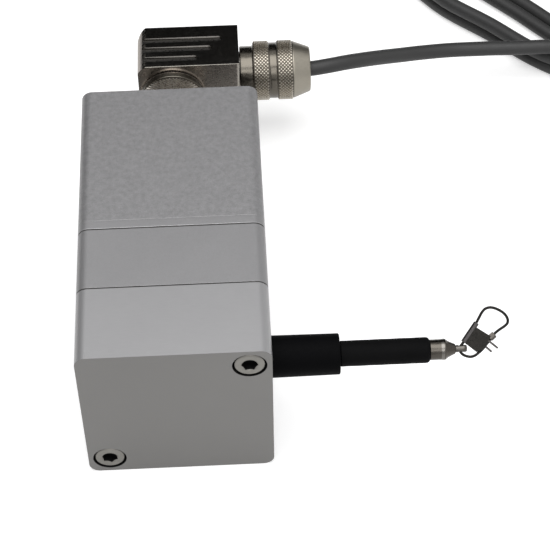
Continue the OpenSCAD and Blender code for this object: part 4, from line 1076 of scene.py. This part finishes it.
# Elbow: a block with one round corner, a folded left side and three finger grooves
elbow_low, elbow_high = (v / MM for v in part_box("elbow_housing"))
ELBOW_RIGHT = 22.0
ELBOW_CORNER = 5.0
ELBOW_FOLD = 2.7
BACK_EDGE = 1.2
FRONT_EDGE = 0.28
RIGHT_EDGE = 0.9


def near(value, target):
    return abs(value - target * MM) < 0.01 * MM


def round_edge(piece, width, segments, **planes):
    """Rounds the edges that lie on all the given planes."""
    select_edges(piece, lambda a, b: all(
        near(getattr(end, axis), at) for axis, at in planes.items() for end in (a, b)))
    bpy.ops.mesh.bevel(offset=width * MM, segments=segments)


elbow = block("elbow", elbow_low, (ELBOW_RIGHT, elbow_high.y, elbow_high.z))
edit(elbow)
select_edges(elbow, lambda a, b: near(a.x, elbow_low.x) and near(b.x, elbow_low.x)
             and abs(a.z - b.z) < 0.01 * MM)
bpy.ops.mesh.bevel(offset=ELBOW_FOLD * MM, segments=3, profile=0.33)
round_edge(elbow, BACK_EDGE, 4, y=elbow_high.y, z=elbow_high.z)
round_edge(elbow, FRONT_EDGE, 2, y=elbow_low.y, z=elbow_high.z)
round_edge(elbow, RIGHT_EDGE, 4, x=ELBOW_RIGHT, y=elbow_low.y)
bpy.ops.object.mode_set(mode="OBJECT")
close_up(elbow)
# The corner away from both threads is rounded from above
corner = block("corner", (elbow_low.x, elbow_low.y - 1, elbow_low.z - 1),
               (ELBOW_RIGHT + 1, elbow_high.y, elbow_high.z + 1))
edit(corner)
round_edge(corner, ELBOW_CORNER, 10, x=elbow_low.x, y=elbow_high.y)
bpy.ops.object.mode_set(mode="OBJECT")
cut(elbow, corner, "INTERSECT")
GROOVE_W = 1.7
GROOVE_DEPTH = 0.7
LIP = 0.3
for k, (right, offset) in enumerate(((15.6, 3.2), (12.1, -1.1), (7.5, -5.6))):
    y = gland_y + offset
    top = elbow_high.z
    end = right + GROOVE_W / 2
    groove = block(f"groove_{k}", (elbow_low.x - 1, y - GROOVE_W / 2, top - GROOVE_DEPTH),
                   (end, y + GROOVE_W / 2, top + 0.02))
    edit(groove)
    select_edges(groove, lambda a, b: near(a.x, end) and near(b.x, end) and abs(a.z - b.z) > 0.1 * MM)
    bpy.ops.mesh.bevel(offset=GROOVE_W * 0.49 * MM, segments=9)
    bpy.ops.mesh.select_all(action="SELECT")
    bpy.ops.mesh.bisect(plane_co=(0, 0, (top - LIP) * MM), plane_no=(0, 0, 1))
    bpy.ops.mesh.select_mode(type="FACE")
    select_faces(groove, lambda c, n: n.z > 0.9)
    flare = 1 + 2 * LIP / GROOVE_W
    bpy.ops.transform.resize(value=(flare, flare, 1), center_override=(right * MM, y * MM, top * MM))
    bpy.ops.object.mode_set(mode="OBJECT")
    cut(elbow, groove)
ring_bore = rod("ring_bore", 7.55, (0, 0, -1), 7, 64)
place(ring_bore, (0, elbow_low.y, shaft_z), ALONG_Y)
cut(elbow, ring_bore)
core_bore = rod("core_bore", 6.0, (0, 0, 0), elbow_high.y - elbow_low.y - 3, 48)
place(core_bore, (0, elbow_low.y, shaft_z), ALONG_Y)
cut(elbow, core_bore)
spigot = rod("spigot", 6.5, (0, 0, 0), elbow_high.x - ELBOW_RIGHT + 1, 64)
place(spigot, (ELBOW_RIGHT - 1, gland_y, shaft_z), ALONG_X)
cut(elbow, spigot, "UNION")
way_out = rod("way_out", 4.5, (0, 0, 0), elbow_high.x + 1, 48)
place(way_out, (0, gland_y, shaft_z), ALONG_X)
cut(elbow, way_out)
break_edges(elbow, 0.25, 3, 50)
for finish in (FINISHES["elbow_coat"], ELBOW_SIDE_PAINTED_LIGHT, GROOVE_PAINTED_SHADE, PAINTED_HIGHLIGHT_LIP, GROOVE_LIP_PAINTED_SHADE):
    elbow.data.materials.append(finish)
# Places in the list of finishes above; COAT is every face that the loop leaves alone
COAT, SIDE, GROOVE_BED, HIGHLIGHTED_EDGE, GROOVE_EDGE = range(5)
for face in elbow.data.polygons:
    depth = elbow_high.z - face.center.z / MM
    slanted = sorted(abs(c) for c in face.normal)[1] > 0.25
    along_groove = abs(face.normal.x) < 0.25 and face.center.y / MM > elbow_low.y + 0.5
    # Slanted edge faces near the top and at the right get the painted highlight, except along the grooves
    if slanted and (depth < 0.45 or face.center.x > 20 * MM):
        # Along the grooves the edge faces get the painted shade instead
        face.material_index = GROOVE_EDGE if along_groove else HIGHLIGHTED_EDGE
    elif abs(face.normal.z) < 0.9 and depth > GROOVE_DEPTH + 0.1:
        # The sides get the lighter painted light copy of the coat
        face.material_index = SIDE
    elif 0.3 < depth < GROOVE_DEPTH + 0.02 and face.normal.z > 0.5:
        # The groove floors get the painted shade
        face.material_index = GROOVE_BED
smooth(elbow, 32)
fit_out(elbow, "housing", FINISHES["elbow_coat"], "elbow_coat", "elbow_housing")

# Small turned parts keep their CAD shape, with their edges broken
for name, node, slot, soften in (
    ("socket_shell", "connector_socket", "connector_nickel", 0.2),
    ("socket_hex_nut", "socket_nut", "connector_nickel", 0.25),
    ("plug_shell", "plug_sleeve", "connector_nickel", 0.12),
    ("bush", "nozzle_bush", "bush_polymer", 0.1),
    ("drum", "wire_drum", "bare_aluminium", 0.12),
    ("arbor", "spring_arbor", "bare_aluminium", 0.1),
    ("encoder_body", "encoder_base", "bare_aluminium", 0.2),
    ("encoder_cover", "encoder_cap", "black_plastic", 0.3),
    ("coupling_hub", "shaft_coupling", "bare_aluminium", 0.12),
):
    piece = copy_of(name, node)
    piece.data.materials.clear()
    break_edges(piece, soften, 2, 40)
    smooth(piece, 32)
    body = "drum" if node in ("wire_drum", "spring_arbor", "shaft_coupling") else "housing"
    fit_out(piece, body, FINISHES[slot], slot, node)


# ---------------------------------------------------------------- floor, light and world

# Places, sizes and distances in this section are metres
FLOOR_SIZE_M = 24
ROOM_LIGHT = 0.42
FLOOR_SEEN = 0.80
FLOOR_LIFT = 0.45
put_down()
bpy.ops.mesh.primitive_plane_add(size=FLOOR_SIZE_M, location=(0, 0, 0))
floor = call_it("floor")
floor_paint, nodes, links, shader = new_finish("floor_paper")
shader.inputs["Roughness"].default_value = 0.9
shader.inputs["Specular IOR Level"].default_value = 0.1
path = nodes.new("ShaderNodeLightPath")


def seen_directly(nodes, links, path):
    """1 for camera, glossy and transmission rays, 0 for the light that spreads round the room."""
    either = path.outputs["Is Camera Ray"]
    for kind in ("Is Glossy Ray", "Is Transmission Ray"):
        larger = nodes.new("ShaderNodeMath")
        larger.operation = "MAXIMUM"
        links.new(either, larger.inputs[0])
        links.new(path.outputs[kind], larger.inputs[1])
        either = larger.outputs[0]
    return either


seen = seen_directly(nodes, links, path)
paper = nodes.new("ShaderNodeMix")
paper.data_type = "RGBA"
paper.inputs[6].default_value = (*[ROOM_LIGHT] * 3, 1)
paper.inputs[7].default_value = (*[FLOOR_SEEN] * 3, 1)
links.new(seen, paper.inputs[0])
links.new(paper.outputs[2], shader.inputs["Base Color"])
shader.inputs["Emission Color"].default_value = (1, 1, 1, 1)
lift = nodes.new("ShaderNodeMath")
lift.operation = "MULTIPLY"
lift.inputs[1].default_value = FLOOR_LIFT
links.new(seen, lift.inputs[0])
links.new(lift.outputs[0], shader.inputs["Emission Strength"])
floor.data.materials.append(floor_paint)

world = bpy.data.worlds.new("studio")
bpy.context.scene.world = world
world.use_nodes = True
nodes, links = world.node_tree.nodes, world.node_tree.links
background = nodes["Background"]
path = nodes.new("ShaderNodeLightPath")
seen = seen_directly(nodes, links, path)
glow = nodes.new("ShaderNodeMapRange")
glow.inputs["To Min"].default_value = ROOM_LIGHT
glow.inputs["To Max"].default_value = 1.0
links.new(seen, glow.inputs["Value"])
background.inputs["Color"].default_value = (1, 1, 1, 1)
links.new(glow.outputs["Result"], background.inputs["Strength"])

# Dark upright screens behind the object and to its left, which only reflections see
bpy.ops.mesh.primitive_plane_add(size=1, location=(0.1, 0.9, 0.475))
card = call_it("dark_card")
card.scale = (1.6, 0.91, 1)
card.rotation_euler = (math.radians(90), 0, 0)
bpy.ops.object.transform_apply(location=True, rotation=True, scale=True)
card.data.materials.append(surface("card_black", (0.01, 0.01, 0.01), 0, 0.9, 0.2))
pick_up(card)
bpy.ops.object.duplicate()
wing = call_it("dark_wing")
place(wing, (200, 100, -15), Matrix.Rotation(math.radians(90), 3, "Z"))
for screen in (card, wing):
    screen.visible_camera = False
    screen.visible_diffuse = False
    screen.visible_shadow = False


def softbox(name, at, aim, size, watts):
    put_down()
    bpy.ops.object.light_add(type="AREA", location=at)
    lamp = call_it(name)
    lamp.data.shape = "RECTANGLE"
    lamp.data.size, lamp.data.size_y = size
    lamp.data.energy = watts
    lamp.rotation_euler = (Vector(aim) - Vector(at)).to_track_quat("-Z", "Y").to_euler()
    return lamp


softbox("overhead", (0.05, -0.05, 1.1), (0.05, 0.05, 0.0), (0.9, 0.9), 9.0)
softbox("front", (0.1, -0.8, 0.8), (0.0, 0.0, 0.03), (0.5, 0.5), 2.2)

bpy.context.scene.view_settings.view_transform = "Standard"
